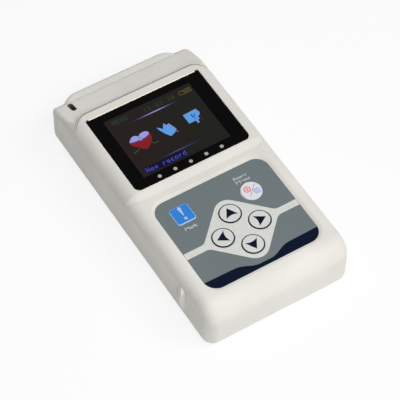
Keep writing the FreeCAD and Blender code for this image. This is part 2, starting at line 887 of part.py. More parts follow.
def hexagon(x, y, z, across):
    """Upright six-sided bar, across its flats."""
    radius = across / math.sqrt(3)
    points = []
    for index in range(6):
        angle = math.radians(60 * index)
        points.append((x + radius * math.cos(angle), y + radius * math.sin(angle), z[0]))
    return polygon_prism(points, (0, 0, z[1] - z[0]))


def board_screws():
    head_size, head_height = board_screw_head
    head_z = (board_bottom - head_height, board_bottom)
    shank_z = (board_bottom, board_top + board_screw_depth - fit_gap)
    screws = []
    for x, y in board_posts:
        head = hexagon(x, y, head_z, head_size)
        shank = cylinder(x, y, shank_z, board_screw_radius)
        screws.append(fuse_all([head, shank]))
    return Part.makeCompound(screws)


def key_switches():
    """One snap switch under each key."""
    body_z = (board_top, board_top + switch_body)
    plunger_z = (board_top + switch_body, switch_top)
    plunger_side = switch_plunger[0]
    switches = []
    for (x, y), _ in all_keys().values():
        body = box(span(x, switch_size), span(y, switch_size), body_z)
        plunger = box(span(x, plunger_side), span(y, plunger_side), plunger_z)
        switches.append(fuse_all([body, plunger]))
    return Part.makeCompound(switches)


def along_board(share):
    """Height up the case, as a share of the way from the battery bay to the lead socket."""
    return bay_high + share * (socket_tail_low - bay_high)


def under_board(x, share, size):
    """Block soldered to the underside of the board."""
    z = (board_bottom - size[2], board_bottom)
    return box(span(x, size[0]), span(along_board(share), size[1]), z)


def shield_can():
    can = under_board(shield_x, shield_share, shield_size)
    edges = [edge for edge in can.Edges if edge.BoundBox.ZMax < board_bottom - 1e-3]
    return can.makeChamfer(shield_edge, edges)


def main_chips():
    chips = [
        under_board(processor_x, processor_share, processor_size),
        under_board(converter_x, converter_share, converter_size),
    ]
    return Part.makeCompound(chips)


def buzzer():
    radius, height = buzzer_size
    can_z = (board_bottom - height, board_bottom)
    return cylinder(buzzer_x, along_board(buzzer_share), can_z, radius)


def backup_cell():
    """Coin cell in its holder, which keeps the clock."""
    seat = under_board(coin_x, coin_share, coin_seat)
    radius, height = coin_size
    top = board_bottom - coin_seat[2]
    coin = cylinder(coin_x, along_board(coin_share), (top - height, top), radius)
    return fuse_all([coin, seat])


def housing_screws():
    head_z = (back_plate - screw_head[1], back_plate)
    shank_z = (back_plate, back_plate + screw_length)
    screws = []
    for x, y in posts:
        head = cylinder(x, y, head_z, screw_head[0])
        screws.append(fuse_all([head, cylinder(x, y, shank_z, screw_radius)]))
    return Part.makeCompound(screws)


# ---- lead socket at the top end ----

def socket_outline(grow, y):
    """Rounded body of the socket along Y."""
    x = (-socket_half_width - grow, socket_half_width + grow)
    z = span(socket_z, socket_height + 2 * grow)
    body = box(x, y, z)
    edges = [edge for edge in body.Edges if edge.BoundBox.YLength > (y[1] - y[0]) - 1e-6]
    return body.makeFillet(socket_corner + grow, edges)


def connector_block():
    """Wide rounded block that closes the top end and frames the lead socket."""
    block = block_outline(0, (block_bottom, block_top))
    top_rim = [edge for edge in block.Edges if edge.BoundBox.ZMin > block_top - 1e-6]
    block = block.makeFillet(block_edge, top_rim)
    foot_rim = [edge for edge in block.Edges if edge.BoundBox.ZMax < block_bottom + 1e-6]
    block = block.makeChamfer(block_foot_edge, foot_rim)
    outside = box((-case_width, case_width), (block_low, case_length), (-1, case_width))
    plug_y = (block_low - plug_depth, block_low)
    plug = box((-plug_half_width, plug_half_width), plug_y, plug_span)
    whole = fuse_all([block.common(outside), plug])
    return whole.cut(socket_outline(fit_gap, (0, case_length)))


def pin_places():
    first = -pin_pitch * (pin_columns - 1) / 2
    places = []
    for column in range(pin_columns):
        places.append((first + column * pin_pitch, socket_z - pin_pitch / 2, pin_tail_low))
        places.append((first + column * pin_pitch, socket_z + pin_pitch / 2, pin_tail_low + pin_tail_step))
    return places


def pin(x, z, tail):
    """Square pin with a tail that rises to the board."""
    across = span(x, pin_size)
    straight = box(across, (tail, socket_back + pin_reach), span(z, pin_size))
    rise = box(across, (tail, tail + pin_size), (z - pin_size / 2, board_bottom))
    return fuse_all([straight, rise])


def lead_pins():
    return Part.makeCompound([pin(*place) for place in pin_places()])


def lead_socket():
    """Open-fronted shell with a foot under the board; the pins run through its floor."""
    shell = socket_outline(0, (socket_back - socket_floor, socket_front))
    foot_x = span(0, 2 * (socket_half_width - socket_tail_inset))
    foot_y = (socket_tail_low, socket_back - socket_floor)
    foot = box(foot_x, foot_y, (socket_z - socket_height / 2, board_bottom))
    hollow = socket_outline(-socket_wall, (socket_back, socket_front + 1))
    return fuse_all([shell, foot]).cut([hollow, lead_pins()])


# ---- lock slider ----

def lock_slider():
    """Thumb rib outside the wall, a stem through its slot and a plate that keeps it in."""
    outside = -case_width / 2 - fit_gap / 2
    crest = outside - slider_proud
    rib_y = span(slider_y, slider_width)
    wedge_points = (
        (outside, rib_y[0], slider_foot),
        (crest, slider_y - slider_crest, slider_foot),
        (outside, rib_y[1], slider_foot),
    )
    wedge = polygon_prism(wedge_points, (0, 0, slider_head - slider_foot))
    side_points = (
        (outside, rib_y[0], slider_foot),
        (crest, rib_y[0], slider_foot + slider_slopes[0]),
        (crest, rib_y[0], slider_head - slider_slopes[1]),
        (outside, rib_y[0], slider_head),
    )
    rib = wedge.common(polygon_prism(side_points, (0, slider_width, 0)))
    plate_x = (fit_gap - inner_side, fit_gap - inner_side + slider_plate[2])
    stem_z = span(slider_z, slider_stem[1])
    stem = box((outside, plate_x[0]), span(slider_y, slider_stem[0]), stem_z)
    plate = box(plate_x, span(slider_y, slider_plate[0]), span(slider_z, slider_plate[1]))
    finger_x = (plate_x[1], lock_switch_x()[0] + finger_reach)
    finger_z = span(lock_switch_z(), slider_finger[1])
    finger = box(finger_x, span(slider_y, slider_finger[0]), finger_z)
    return fuse_all([rib, stem, plate, finger])


def lock_switch_x():
    """The switch lies under the board's edge, next to the slider's plate."""
    left = fit_gap - inner_side + slider_plate[2] + lock_switch_gap
    return (left, left + lock_switch_size[0])


def lock_switch_z():
    return board_bottom - lock_switch_size[2] / 2


def lock_switch():
    x = lock_switch_x()
    middle_y = slider_y + slider_travel / 2
    body_z = (board_bottom - lock_switch_size[2], board_bottom)
    body = box(x, span(middle_y, lock_switch_size[1]), body_z)
    slot_x = (x[0] - 1, x[0] + finger_reach + lock_switch_gap)
    slot_y = span(middle_y, slider_finger[0] + slider_travel + 2 * slide_gap)
    slot_z = span(lock_switch_z(), slider_finger[1] + 2 * slide_gap)
    return body.cut(box(slot_x, slot_y, slot_z))


def keypad_overlay():
    x = span(overlay_centre[0], overlay_size[0])
    y = span(overlay_centre[1], overlay_size[1])
    sheet = rounded_plate(x, y, (overlay_floor, overlay_top), overlay_corner)
    through = (overlay_floor - 1, overlay_top + 1)
    return sheet.cut([outline(key_gap, through) for _, outline in all_keys().values()])


def build_nodes():
    nodes = {
        "front_cover": front_cover(),
        "back_cover": back_cover(),
        "connector_block": connector_block(),
        "screen_window": screen_window(),
        "indicator_dots": indicator_dots(),
        "window_gasket": window_gasket(),
        "display_frame": display_frame(),
        "display_glass": display_glass(),
        "display_pad": display_pad(),
        "display_ribbon": display_ribbon(),
        "ribbon_socket": ribbon_socket(),
        "keypad_overlay": keypad_overlay(),
        "main_board": main_board(),
        "board_screws": board_screws(),
        "key_switches": key_switches(),
        "lock_switch": lock_switch(),
        "shield_can": shield_can(),
        "main_chips": main_chips(),
        "buzzer": buzzer(),
        "backup_cell": backup_cell(),
        "lead_socket": lead_socket(),
        "lead_pins": lead_pins(),
        "battery_cell_a": battery_cell(-cell_x, True),
        "battery_cell_b": battery_cell(cell_x, False),
        "battery_bridge": battery_bridge(),
        "battery_contact_pos": board_contact(-cell_x, False),
        "battery_contact_neg": board_contact(cell_x, True),
        "housing_screws": housing_screws(),
        "battery_door": battery_door(),
        "lock_slider": lock_slider(),
    }
    for name, (centre, outline) in all_keys().items():
        nodes[name] = key_cap(centre, outline)
    return nodes


os.makedirs("parts", exist_ok=True)
for node_name, node_shape in build_nodes().items():
    node_shape.exportStep(os.path.join("parts", node_name + ".step"))
    print(node_name, node_shape.isValid(), len(node_shape.Solids), round(node_shape.Volume, 1))
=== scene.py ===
import math

import bmesh
import bpy
from mathutils import Matrix, Vector


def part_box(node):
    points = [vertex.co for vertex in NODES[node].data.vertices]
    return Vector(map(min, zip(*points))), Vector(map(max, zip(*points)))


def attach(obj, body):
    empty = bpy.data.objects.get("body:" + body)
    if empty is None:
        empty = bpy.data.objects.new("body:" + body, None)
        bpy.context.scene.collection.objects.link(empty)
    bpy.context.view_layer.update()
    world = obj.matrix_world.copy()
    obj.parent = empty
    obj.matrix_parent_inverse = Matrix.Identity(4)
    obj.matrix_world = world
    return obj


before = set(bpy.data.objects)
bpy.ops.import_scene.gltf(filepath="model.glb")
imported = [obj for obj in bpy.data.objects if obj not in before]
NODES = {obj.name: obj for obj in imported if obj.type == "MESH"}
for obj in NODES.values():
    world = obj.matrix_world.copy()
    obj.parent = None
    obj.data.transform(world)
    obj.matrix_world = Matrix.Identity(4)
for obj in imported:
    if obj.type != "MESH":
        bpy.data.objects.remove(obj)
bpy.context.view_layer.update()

MM = 0.001
PIXEL = 0.219                # pitch of the display's pixels
WINDOW_SHEEN = 0.03          # specular level of the window and of the picture behind it
GRAIN_DEPTH = 0.00004        # of the moulded plastics, in metres
BRUSH_DEPTH = 0.00002        # of the metals, in metres

# scales of the noise patterns, in repeats per metre, and the values that most of the noise lies in
DRIFT_SCALE = 55
HAZE_SCALE = 60
PATCH_SCALE = 140
MOTTLE_SCALE = 900
BRUSH_SCALE = 2500
NOISE_SPAN = (0.3, 0.7)
DRIFT_SPAN = (0.35, 0.65)    # narrower, so that the drift shows


# ---------------------------------------------------------------- materials

def new_material(name):
    mat = bpy.data.materials.new(name)
    mat.use_nodes = True
    shader = mat.node_tree.nodes["Principled BSDF"]
    return mat, mat.node_tree.nodes, mat.node_tree.links, shader


def noise(nodes, links, scale, detail, stretch=None):
    """Noise in the object's own coordinates, so that it stays on the piece when it moves."""
    coords = nodes.new("ShaderNodeTexCoord")
    texture = nodes.new("ShaderNodeTexNoise")
    texture.inputs["Scale"].default_value = scale
    texture.inputs["Detail"].default_value = detail
    if stretch is None:
        links.new(coords.outputs["Object"], texture.inputs["Vector"])
    else:
        mapping = nodes.new("ShaderNodeMapping")
        mapping.inputs["Scale"].default_value = stretch
        links.new(coords.outputs["Object"], mapping.inputs["Vector"])
        links.new(mapping.outputs["Vector"], texture.inputs["Vector"])
    return texture.outputs["Fac"]


def ramp(nodes, links, source, colours, span=NOISE_SPAN):
    """Colour that runs from the first to the second over a span of the source's values."""
    node = nodes.new("ShaderNodeValToRGB")
    for element, place, colour in zip(node.color_ramp.elements, span, colours):
        element.position = place
        element.color = (*colour, 1)
    links.new(source, node.inputs["Fac"])
    return node.outputs["Color"]


def vary_colour(nodes, links, shader, source, colours, span=NOISE_SPAN):
    links.new(ramp(nodes, links, source, colours, span), shader.inputs["Base Color"])


def vary_gloss(nodes, links, shader, source, low, high):
    """Roughness between low and high, as the noise goes."""
    node = nodes.new("ShaderNodeMapRange")
    node.inputs["From Min"].default_value = NOISE_SPAN[0]
    node.inputs["From Max"].default_value = NOISE_SPAN[1]
    node.inputs["To Min"].default_value = low
    node.inputs["To Max"].default_value = high
    links.new(source, node.inputs["Value"])
    links.new(node.outputs["Result"], shader.inputs["Roughness"])


def bump(nodes, links, shader, source, strength, distance):
    node = nodes.new("ShaderNodeBump")
    node.inputs["Strength"].default_value = strength
    node.inputs["Distance"].default_value = distance
    links.new(source, node.inputs["Height"])
    links.new(node.outputs["Normal"], shader.inputs["Normal"])


def linear(*srgb):
    """Colour as Blender wants it, from 0-255 screen values."""
    out = []
    for value in srgb:
        v = value / 255
        out.append(v / 12.92 if v <= 0.04045 else ((v + 0.055) / 1.055) ** 2.4)
    return tuple(out)


def either_side(colour, spread):
    """The colour a little darker and a little lighter."""
    return tuple(c * (1 - spread) for c in colour), tuple(min(1, c * (1 + spread)) for c in colour)


def moulded(name, colour, rough, grain=0.35, grain_size=0.12, spread=0.03, specular=0.15, coat=0.0):
    """Moulded plastic: a little colour drift, patchy gloss and a fine eroded-steel grain."""
    mat, nodes, links, shader = new_material(name)
    drift = noise(nodes, links, DRIFT_SCALE, 2)
    vary_colour(nodes, links, shader, drift, either_side(colour, spread), DRIFT_SPAN)
    patches = noise(nodes, links, PATCH_SCALE, 4)
    vary_gloss(nodes, links, shader, patches, rough - 0.05, rough + 0.05)
    bump(nodes, links, shader, noise(nodes, links, 1 / (grain_size * MM), 2), grain, GRAIN_DEPTH)
    shader.inputs["Specular IOR Level"].default_value = specular
    shader.inputs["Coat Weight"].default_value = coat
    shader.inputs["Coat Roughness"].default_value = 0.2
    return mat


def printed(name, colour, specular=0.12):
    """Ink: nearly flat colour with the faint mottle of screen printing."""
    mat, nodes, links, shader = new_material(name)
    mottle = noise(nodes, links, MOTTLE_SCALE, 2)
    vary_colour(nodes, links, shader, mottle, either_side(colour, 0.05))
    vary_gloss(nodes, links, shader, mottle, 0.42, 0.48)
    shader.inputs["Specular IOR Level"].default_value = specular
    return mat


def metal(name, colour, rough):
    """Brushed metal: the noise is drawn out into lines."""
    mat, nodes, links, shader = new_material(name)
    shader.inputs["Metallic"].default_value = 1.0
    lines = noise(nodes, links, BRUSH_SCALE, 3, stretch=(1, 0.04, 1))
    dark = tuple(c * 0.9 for c in colour)
    vary_colour(nodes, links, shader, lines, (dark, colour))
    vary_gloss(nodes, links, shader, lines, rough - 0.06, rough + 0.08)
    bump(nodes, links, shader, lines, 0.15, BRUSH_DEPTH)
    return mat


def gloss_black(name):
    """Printed-behind window: very dark, polished, with a trace of haze."""
    mat, nodes, links, shader = new_material(name)
    haze = noise(nodes, links, HAZE_SCALE, 3)
    vary_colour(nodes, links, shader, haze, (linear(3, 3, 4), linear(5, 5, 6)))
    vary_gloss(nodes, links, shader, haze, 0.06, 0.1)
    shader.inputs["Specular IOR Level"].default_value = WINDOW_SHEEN
    return mat


def glassy(nodes, links, shader):
    """Dark polished face with a trace of haze, as the base under a glow."""
    haze = noise(nodes, links, HAZE_SCALE, 3)
    vary_colour(nodes, links, shader, haze, (linear(3, 3, 3), linear(5, 5, 5)))
    shader.inputs["Roughness"].default_value = 0.12
    shader.inputs["Specular IOR Level"].default_value = WINDOW_SHEEN


def place_along_x(nodes, links, low, high):
    """0 to 1 along X between two places in millimetres."""
    coords = nodes.new("ShaderNodeTexCoord")
    split = nodes.new("ShaderNodeSeparateXYZ")
    along = nodes.new("ShaderNodeMapRange")
    along.inputs["From Min"].default_value = low * MM
    along.inputs["From Max"].default_value = high * MM
    links.new(coords.outputs["Object"], split.inputs["Vector"])
    links.new(split.outputs["X"], along.inputs["Value"])
    return along.outputs["Result"]


def lit(name, colour, far_colour=None, span=None):
    """Lit pixels of the display: glowing colour behind a polished face, with the pixels' fine grid.

    With far_colour the colour runs along X to it, over the span in millimetres.
    """
    mat, nodes, links, shader = new_material(name)
    coords = nodes.new("ShaderNodeTexCoord")
    grid = nodes.new("ShaderNodeTexBrick")
    grid.offset = 0
    grid.inputs["Scale"].default_value = 1 / (PIXEL * MM)
    grid.inputs["Brick Width"].default_value = 1.0
    grid.inputs["Row Height"].default_value = 1.0
    grid.inputs["Mortar Size"].default_value = 0.08
    grid.inputs["Mortar Smooth"].default_value = 0.3
    grid.inputs["Color1"].default_value = (*colour, 1)
    grid.inputs["Color2"].default_value = (*(0.9 * c for c in colour), 1)
    grid.inputs["Mortar"].default_value = (*(0.6 * c for c in colour), 1)
    links.new(coords.outputs["Object"], grid.inputs["Vector"])
    if far_colour:
        along = place_along_x(nodes, links, *span)
        drift = ramp(nodes, links, along, (colour, far_colour), (0, 1))
        links.new(drift, grid.inputs["Color1"])
        links.new(drift, grid.inputs["Color2"])
    links.new(grid.outputs["Color"], shader.inputs["Emission Color"])
    shader.inputs["Emission Strength"].default_value = 1.0
    glassy(nodes, links, shader)
    return mat


def lit_line(name, low, high, stops):
    """A lit line along X whose colour runs through the stops from its low end to its high end."""
    mat, nodes, links, shader = new_material(name)
    fade = nodes.new("ShaderNodeValToRGB")
    elements = fade.color_ramp.elements
    elements[0].color = (*stops[0], 1)
    elements[1].color = (*stops[-1], 1)
    for index, stop in enumerate(stops[1:-1], start=1):
        elements.new(index / (len(stops) - 1)).color = (*stop, 1)
    links.new(place_along_x(nodes, links, low, high), fade.inputs["Fac"])
    links.new(fade.outputs["Color"], shader.inputs["Emission Color"])
    shader.inputs["Emission Strength"].default_value = 1.0
    glassy(nodes, links, shader)
    return mat


housing = moulded("housing_plastic", linear(228, 226, 219), 0.42)
block_plastic = moulded("block_plastic", linear(224, 223, 216), 0.45)
slider_plastic = moulded("slider_plastic", linear(226, 225, 218), 0.4)
overlay_film = moulded("overlay_film", linear(111, 121, 123), 0.5, 0.25, 0.2, 0.02, specular=0.12)
window_black = gloss_black("window_black")
key_plastic = moulded("key_plastic", linear(215, 217, 214), 0.42, 0.2, 0.15, 0.02)
power_plastic = moulded("power_plastic", linear(226, 228, 232), 0.4, 0.2, 0.15, 0.02)
mark_plastic = moulded("mark_plastic", linear(52, 130, 216), 0.4, 0.2, 0.15, 0.03)
dot_metal = metal("dot_metal", linear(160, 154, 144), 0.5)
steel = metal("steel", (0.55, 0.55, 0.55), 0.35)
tin = metal("tin", (0.68, 0.68, 0.68), 0.3)
brass = metal("pin_brass", (0.75, 0.55, 0.25), 0.3)
black_plastic = moulded("black_plastic", linear(38, 38, 40), 0.4, 0.3, 0.15, 0.1)
board_green = moulded("board_green", linear(20, 86, 52), 0.35, 0.4, 0.4, 0.2)
cell_sleeve = moulded("cell_sleeve", linear(60, 72, 88), 0.3, 0.1, 0.2, 0.05, coat=0.4)
foam = moulded("foam", linear(45, 45, 45), 0.9, 1.0, 0.3, 0.3)
rubber = moulded("rubber", linear(30, 30, 30), 0.8, 0.5, 0.2, 0.1)
film_amber = moulded("film_amber", linear(190, 120, 40), 0.35, 0.1, 0.3, 0.05)
cream_plastic = moulded("cream_plastic", linear(225, 220, 200), 0.45, 0.2, 0.2, 0.03)

DRESSED = (
    (housing, ("front_cover", "back_cover", "battery_door")),
    (block_plastic, ("connector_block",)),
    (slider_plastic, ("lock_slider",)),
    (window_black, ("screen_window", "display_glass")),
    (dot_metal, ("indicator_dots",)),
    (rubber, ("window_gasket",)),
    (foam, ("display_pad",)),
    (film_amber, ("display_ribbon",)),
    (cream_plastic, ("ribbon_socket",)),
    (overlay_film, ("keypad_overlay",)),
    (board_green, ("main_board",)),
    (steel, ("board_screws", "housing_screws")),
    (tin, ("display_frame", "shield_can", "backup_cell")),
    (tin, ("battery_bridge", "battery_contact_pos", "battery_contact_neg")),
    (black_plastic, ("key_switches", "lock_switch", "main_chips", "buzzer", "lead_socket")),
    (brass, ("lead_pins",)),
    (cell_sleeve, ("battery_cell_a", "battery_cell_b")),
    (key_plastic, ("key_up", "key_right", "key_down", "key_left")),
    (power_plastic, ("key_power",)),
    (mark_plastic, ("key_mark",)),
)
for dress, nodes_dressed in DRESSED:
    for node_name in nodes_dressed:
        NODES[node_name].data.materials.clear()
        NODES[node_name].data.materials.append(dress)

# ---------------------------------------------------------------- flat prints and lit pictures

INK = 0.02                   # thickness of a printed or lit layer


def box_mm(node):
    low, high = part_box(node)
    return [v / MM for v in low], [v / MM for v in high]


def middle_mm(node):
    low, high = box_mm(node)
    return (low[0] + high[0]) / 2, (low[1] + high[1]) / 2


def circle(x, y, radius, count=48):
    points = []
    for index in range(count):
        angle = 2 * math.pi * index / count
        points.append((x + radius * math.cos(angle), y + radius * math.sin(angle)))
    return points


def rounded(corners, steps=8):
    """Closed outline through (x, y, radius) corners, each rounded with its own radius."""
    points = []
    for index, (x, y, radius) in enumerate(corners):
        if radius == 0:
            points.append((x, y))
            continue
        here = Vector((x, y))
        before = (Vector(corners[index - 1][:2]) - here).normalized()
        after = (Vector(corners[(index + 1) % len(corners)][:2]) - here).normalized()
        half = before.angle(after) / 2
        centre = here + (before + after).normalized() * (radius / math.sin(half))
        first = here + before * (radius / math.tan(half)) - centre
        last = here + after * (radius / math.tan(half)) - centre
        turn = first.angle_signed(last)
        for step in range(steps + 1):
            angle = -turn * step / steps
            spoke = Vector((
                first.x * math.cos(angle) - first.y * math.sin(angle),
                first.x * math.sin(angle) + first.y * math.cos(angle),
            ))
            points.append(tuple(centre + spoke))
    return points


def rectangle(x0, y0, x1, y1, radius=0):
    return rounded([(x0, y0, radius), (x1, y0, radius), (x1, y1, radius), (x0, y1, radius)])


def stroke(points, width):
    """Outline of a line of even width through the points."""
    left, right = [], []
    for index, point in enumerate(points):
        here = Vector(point)
        before = Vector(points[max(index - 1, 0)])
        after = Vector(points[min(index + 1, len(points) - 1)])
        run = (after - before).normalized()
        across = Vector((-run.y, run.x)) * width / 2
        left.append(tuple(here + across))
        right.append(tuple(here - across))
    return left + right[::-1]


def moved(points, place):
    return [(x + place[0], y + place[1]) for x, y in points]


def turned(points, angle):
    c, s = math.cos(angle), math.sin(angle)
    return [(x * c - y * s, x * s + y * c) for x, y in points]


def curve_mesh(curve):
    """Filled mesh of a flat curve or a text."""
    drawn = bpy.data.objects.new(curve.name + "_drawn", curve)
    bpy.context.scene.collection.objects.link(drawn)
    graph = bpy.context.evaluated_depsgraph_get()
    mesh = bpy.data.meshes.new_from_object(drawn.evaluated_get(graph))
    bpy.data.objects.remove(drawn)
    return mesh


def add_piece(name, mesh, mat, body="case"):
    """Piece from a mesh in millimetres, which rides the body."""
    mesh.transform(Matrix.Scale(MM, 4))
    mesh.name = name
    mesh.materials.clear()
    mesh.materials.append(mat)
    piece = bpy.data.objects.new(name, mesh)
    bpy.context.scene.collection.objects.link(piece)
    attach(piece, body)


def flat_piece(name, loops, z, mat, body="case"):
    """Thin layer on a level face at height z; a loop inside another one is a hole."""
    curve = bpy.data.curves.new(name, "CURVE")
    curve.dimensions = "2D"
    curve.fill_mode = "BOTH"
    curve.extrude = INK / 2
    for loop in loops:
        spline = curve.splines.new("POLY")
        spline.points.add(len(loop) - 1)
        for point, (x, y) in zip(spline.points, loop):
            point.co = (x, y, 0, 1)
        spline.use_cyclic_u = True
    mesh = curve_mesh(curve)
    mesh.transform(Matrix.Translation((0, 0, z + INK / 2)))
    add_piece(name, mesh, mat, body)


def mesh_piece(name, points, faces, mat, body="case"):
    """Mesh piece from points in millimetres."""
    mesh = bpy.data.meshes.new(name)
    mesh.from_pydata(points, [], faces)
    mesh.update()
    shape = bmesh.new()
    shape.from_mesh(mesh)
    bmesh.ops.recalc_face_normals(shape, faces=shape.faces)
    shape.to_mesh(mesh)
    shape.free()
    add_piece(name, mesh, mat, body)


def band_piece(name, loops, mat, body="case", closed=True):
    """Skin over loops of (x, y, z) points with equal counts, each joined to the next, last to first.

    Loops that aren't closed are runs side by side, and a face shuts the skin at each of their ends.
    """
    count = len(loops[0])
    points = [point for loop in loops for point in loop]
    faces = []
    steps = count if closed else count - 1
    for row in range(len(loops)):
        following = (row + 1) % len(loops)
        for index in range(steps):
            after = (index + 1) % count
            faces.append((
                row * count + index, row * count + after,
                following * count + after, following * count + index,
            ))
    if not closed:
        faces.append(tuple(row * count for row in range(len(loops))))
        faces.append(tuple(row * count + count - 1 for row in range(len(loops)))[::-1])
    mesh_piece(name, points, faces, mat, body)


def at_height(points, z):
    return [(x, y, z) for x, y in points]


def layer_piece(name, points, faces, z, mat):
    """Flat faces made as thick as a printed layer, up from height z."""
    count = len(points)
    edges = [(face[k - 1], face[k]) for face in faces for k in range(len(face))]
    known = set(edges)
    walls = [(a, b, b + count, a + count) for a, b in edges if (b, a) not in known]
    low = [face[::-1] for face in faces]
    high = [[corner + count for corner in face] for face in faces]
    solid = at_height(points, z) + at_height(points, z + INK)
    mesh_piece(name, solid, low + high + walls, mat)


LETTER_SWELL = 0.028         # thickens the printed letters, as a share of the font's size


def text_curve(name, text):
    curve = bpy.data.curves.new(name, "FONT")
    curve.body = text
    curve.size = 1
    return curve


def word_piece(name, text, fit, z, mat):
    """Lettering that fills the box fit = (x0, y0, x1, y1)."""
    curve = text_curve(name, text)
    curve.offset = LETTER_SWELL
    curve.extrude = INK / 2
    mesh = curve_mesh(curve)
    x0, y0, x1, y1 = fit
    xs = [v.co.x for v in mesh.vertices]
    ys = [v.co.y for v in mesh.vertices]
    wide = (x1 - x0) / (max(xs) - min(xs))
    high = (y1 - y0) / (max(ys) - min(ys))
    for v in mesh.vertices:
        v.co.x = x0 + (v.co.x - min(xs)) * wide
        v.co.y = y0 + (v.co.y - min(ys)) * high
    mesh.transform(Matrix.Translation((0, 0, z + INK / 2)))
    add_piece(name, mesh, mat)


def smooth(points, steps=5):
    """Closed outline that runs smoothly through the points."""
    out = []
    count = len(points)
    for index in range(count):
        p0, p1, p2, p3 = (Vector(points[(index + k) % count]) for k in (-1, 0, 1, 2))
        for step in range(steps):
            t = step / steps
            a = 2 * p1 + (p2 - p0) * t
            b = (2 * p0 - 5 * p1 + 4 * p2 - p3) * t * t
            c = (3 * p1 - p0 - 3 * p2 + p3) * t * t * t
            out.append(tuple((a + b + c) / 2))
    return out


# ---------------------------------------------------------------- print on the keypad

ARROWS = {"key_up": 0.0, "key_left": 90.0, "key_down": 180.0, "key_right": 270.0}

PALE_INK = printed("pale_ink", linear(217, 218, 214))
NAVY_INK = printed("navy_ink", linear(8, 16, 38), specular=0.05)
RING_INK = printed("ring_ink", linear(40, 38, 50), specular=0.05)
WORD_INK = printed("word_ink", linear(186, 194, 193))
BLUE_EDGE_INK = printed("blue_edge_ink", linear(165, 197, 240))
RED_INK = printed("red_ink", linear(220, 112, 112))
BLUE_INK = printed("blue_ink", linear(100, 150, 215))
GREY_INK = printed("grey_ink", linear(110, 115, 125))
PINK_INK = printed("pink_ink", linear(238, 200, 202))
SKY_INK = printed("sky_ink", linear(196, 214, 240))

overlay_low, overlay_high = box_mm("keypad_overlay")
overlay_top = overlay_high[2]
key_top = box_mm("key_up")[1][2]
cross_x = middle_mm("key_up")[0]
cross_y = middle_mm("key_left")[1]
arrow_radius = (box_mm("key_up")[1][1] - box_mm("key_up")[0][1]) / 2

HOLE_EDGE = 0.14             # print stays this far outside a key's side
CAP_EDGE = 0.3               # eased edge of a key's cap
PAINT = 0.02                 # thickness of the paint on that edge
PAINT_LAP = 0.06             # how far the paint reaches onto the cap,
PAINT_FOOT = 0.05            # how far down the key's side,
PAINT_BITE = 0.04            # how deep its hidden faces lie in the key
PAINT_EASE = 0.01            # and how far its own edge is eased
FIELD_REACH = 15.3           # the pale field's sides meet this far from the cross's centre
FIELD_TIP = 4.9              # radius of its tips
FIELD_BEND = 3.0             # and where its sides run into the arms
ARM_HIGH = 1.0               # upper and lower edge of the arms, from the cross's centre
ARM_LOW = -1.55
PANEL_CORNER = 4.9           # radius of the panel's corners


def pale_field():
    """Square field standing on its tip around the arrow keys, with an arm to each side."""
    side = overlay_high[0] - cross_x
    outline = rounded([
        (0, FIELD_REACH, FIELD_TIP),
        (-(FIELD_REACH - ARM_HIGH), ARM_HIGH, FIELD_BEND),
        (-side, ARM_HIGH, 0),
        (-side, ARM_LOW, 0),
        (-(FIELD_REACH + ARM_LOW), ARM_LOW, FIELD_BEND),
        (0, -FIELD_REACH, FIELD_TIP),
        (FIELD_REACH + ARM_LOW, ARM_LOW, FIELD_BEND),
        (side, ARM_LOW, 0),
        (side, ARM_HIGH, 0),
        (FIELD_REACH - ARM_HIGH, ARM_HIGH, FIELD_BEND),
    ])
    loops = [moved(outline, (cross_x, cross_y))]
    for key in ARROWS:
        loops.append(circle(*middle_mm(key), arrow_radius + HOLE_EDGE))
    flat_piece("pale_field", loops, overlay_top, PALE_INK)


WAVE_ENDS = 12.4             # the wave's upper edge below the cross's centre: at the panel's sides,
WAVE_SHOULDER = 12.8         # where it starts to dip
WAVE_DIP = 15.2              # and in the middle
WAVE_DIP_SPAN = (2.2, 10.5)  # from the middle, where the dip's flat part ends and where the dip ends
WAVE_STEPS = 60
CORNER_STEPS = 10


def wave_edge(x):
    """How far the wave's upper edge lies below the cross's centre."""
    inner, outer = WAVE_DIP_SPAN
    share = min(max((abs(x) - inner) / (outer - inner), 0), 1)
    dip = (WAVE_DIP - WAVE_SHOULDER) * (1 + math.cos(math.pi * share)) / 2
    rise = (WAVE_SHOULDER - WAVE_ENDS) * min(abs(x) / overlay_high[0], 1) * share
    return WAVE_SHOULDER + dip - rise


def navy_wave():
    """Dark foot of the panel, with a waved upper edge and the panel's own corners below."""
    side = overlay_high[0] - cross_x
    bottom = overlay_low[1] - cross_y
    corner_y = bottom + PANEL_CORNER
    drop = WAVE_ENDS + corner_y
    reach = side - PANEL_CORNER + math.sqrt(PANEL_CORNER ** 2 - drop ** 2)
    points = []
    for index in range(WAVE_STEPS + 1):
        x = reach - 2 * reach * index / WAVE_STEPS
        points.append((x, -wave_edge(x)))
    start = math.asin(drop / PANEL_CORNER)
    for turn in (-1, 1):
        for index in range(1, CORNER_STEPS + 1):
            share = index / CORNER_STEPS if turn < 0 else 1 - (index - 1) / CORNER_STEPS
            angle = start + (math.pi / 2 - start) * share
            x = turn * (side - PANEL_CORNER + PANEL_CORNER * math.cos(angle))
            points.append((x, corner_y - PANEL_CORNER * math.sin(angle)))
    flat_piece("navy_wave", [moved(points, (cross_x, cross_y))], overlay_top, NAVY_INK)


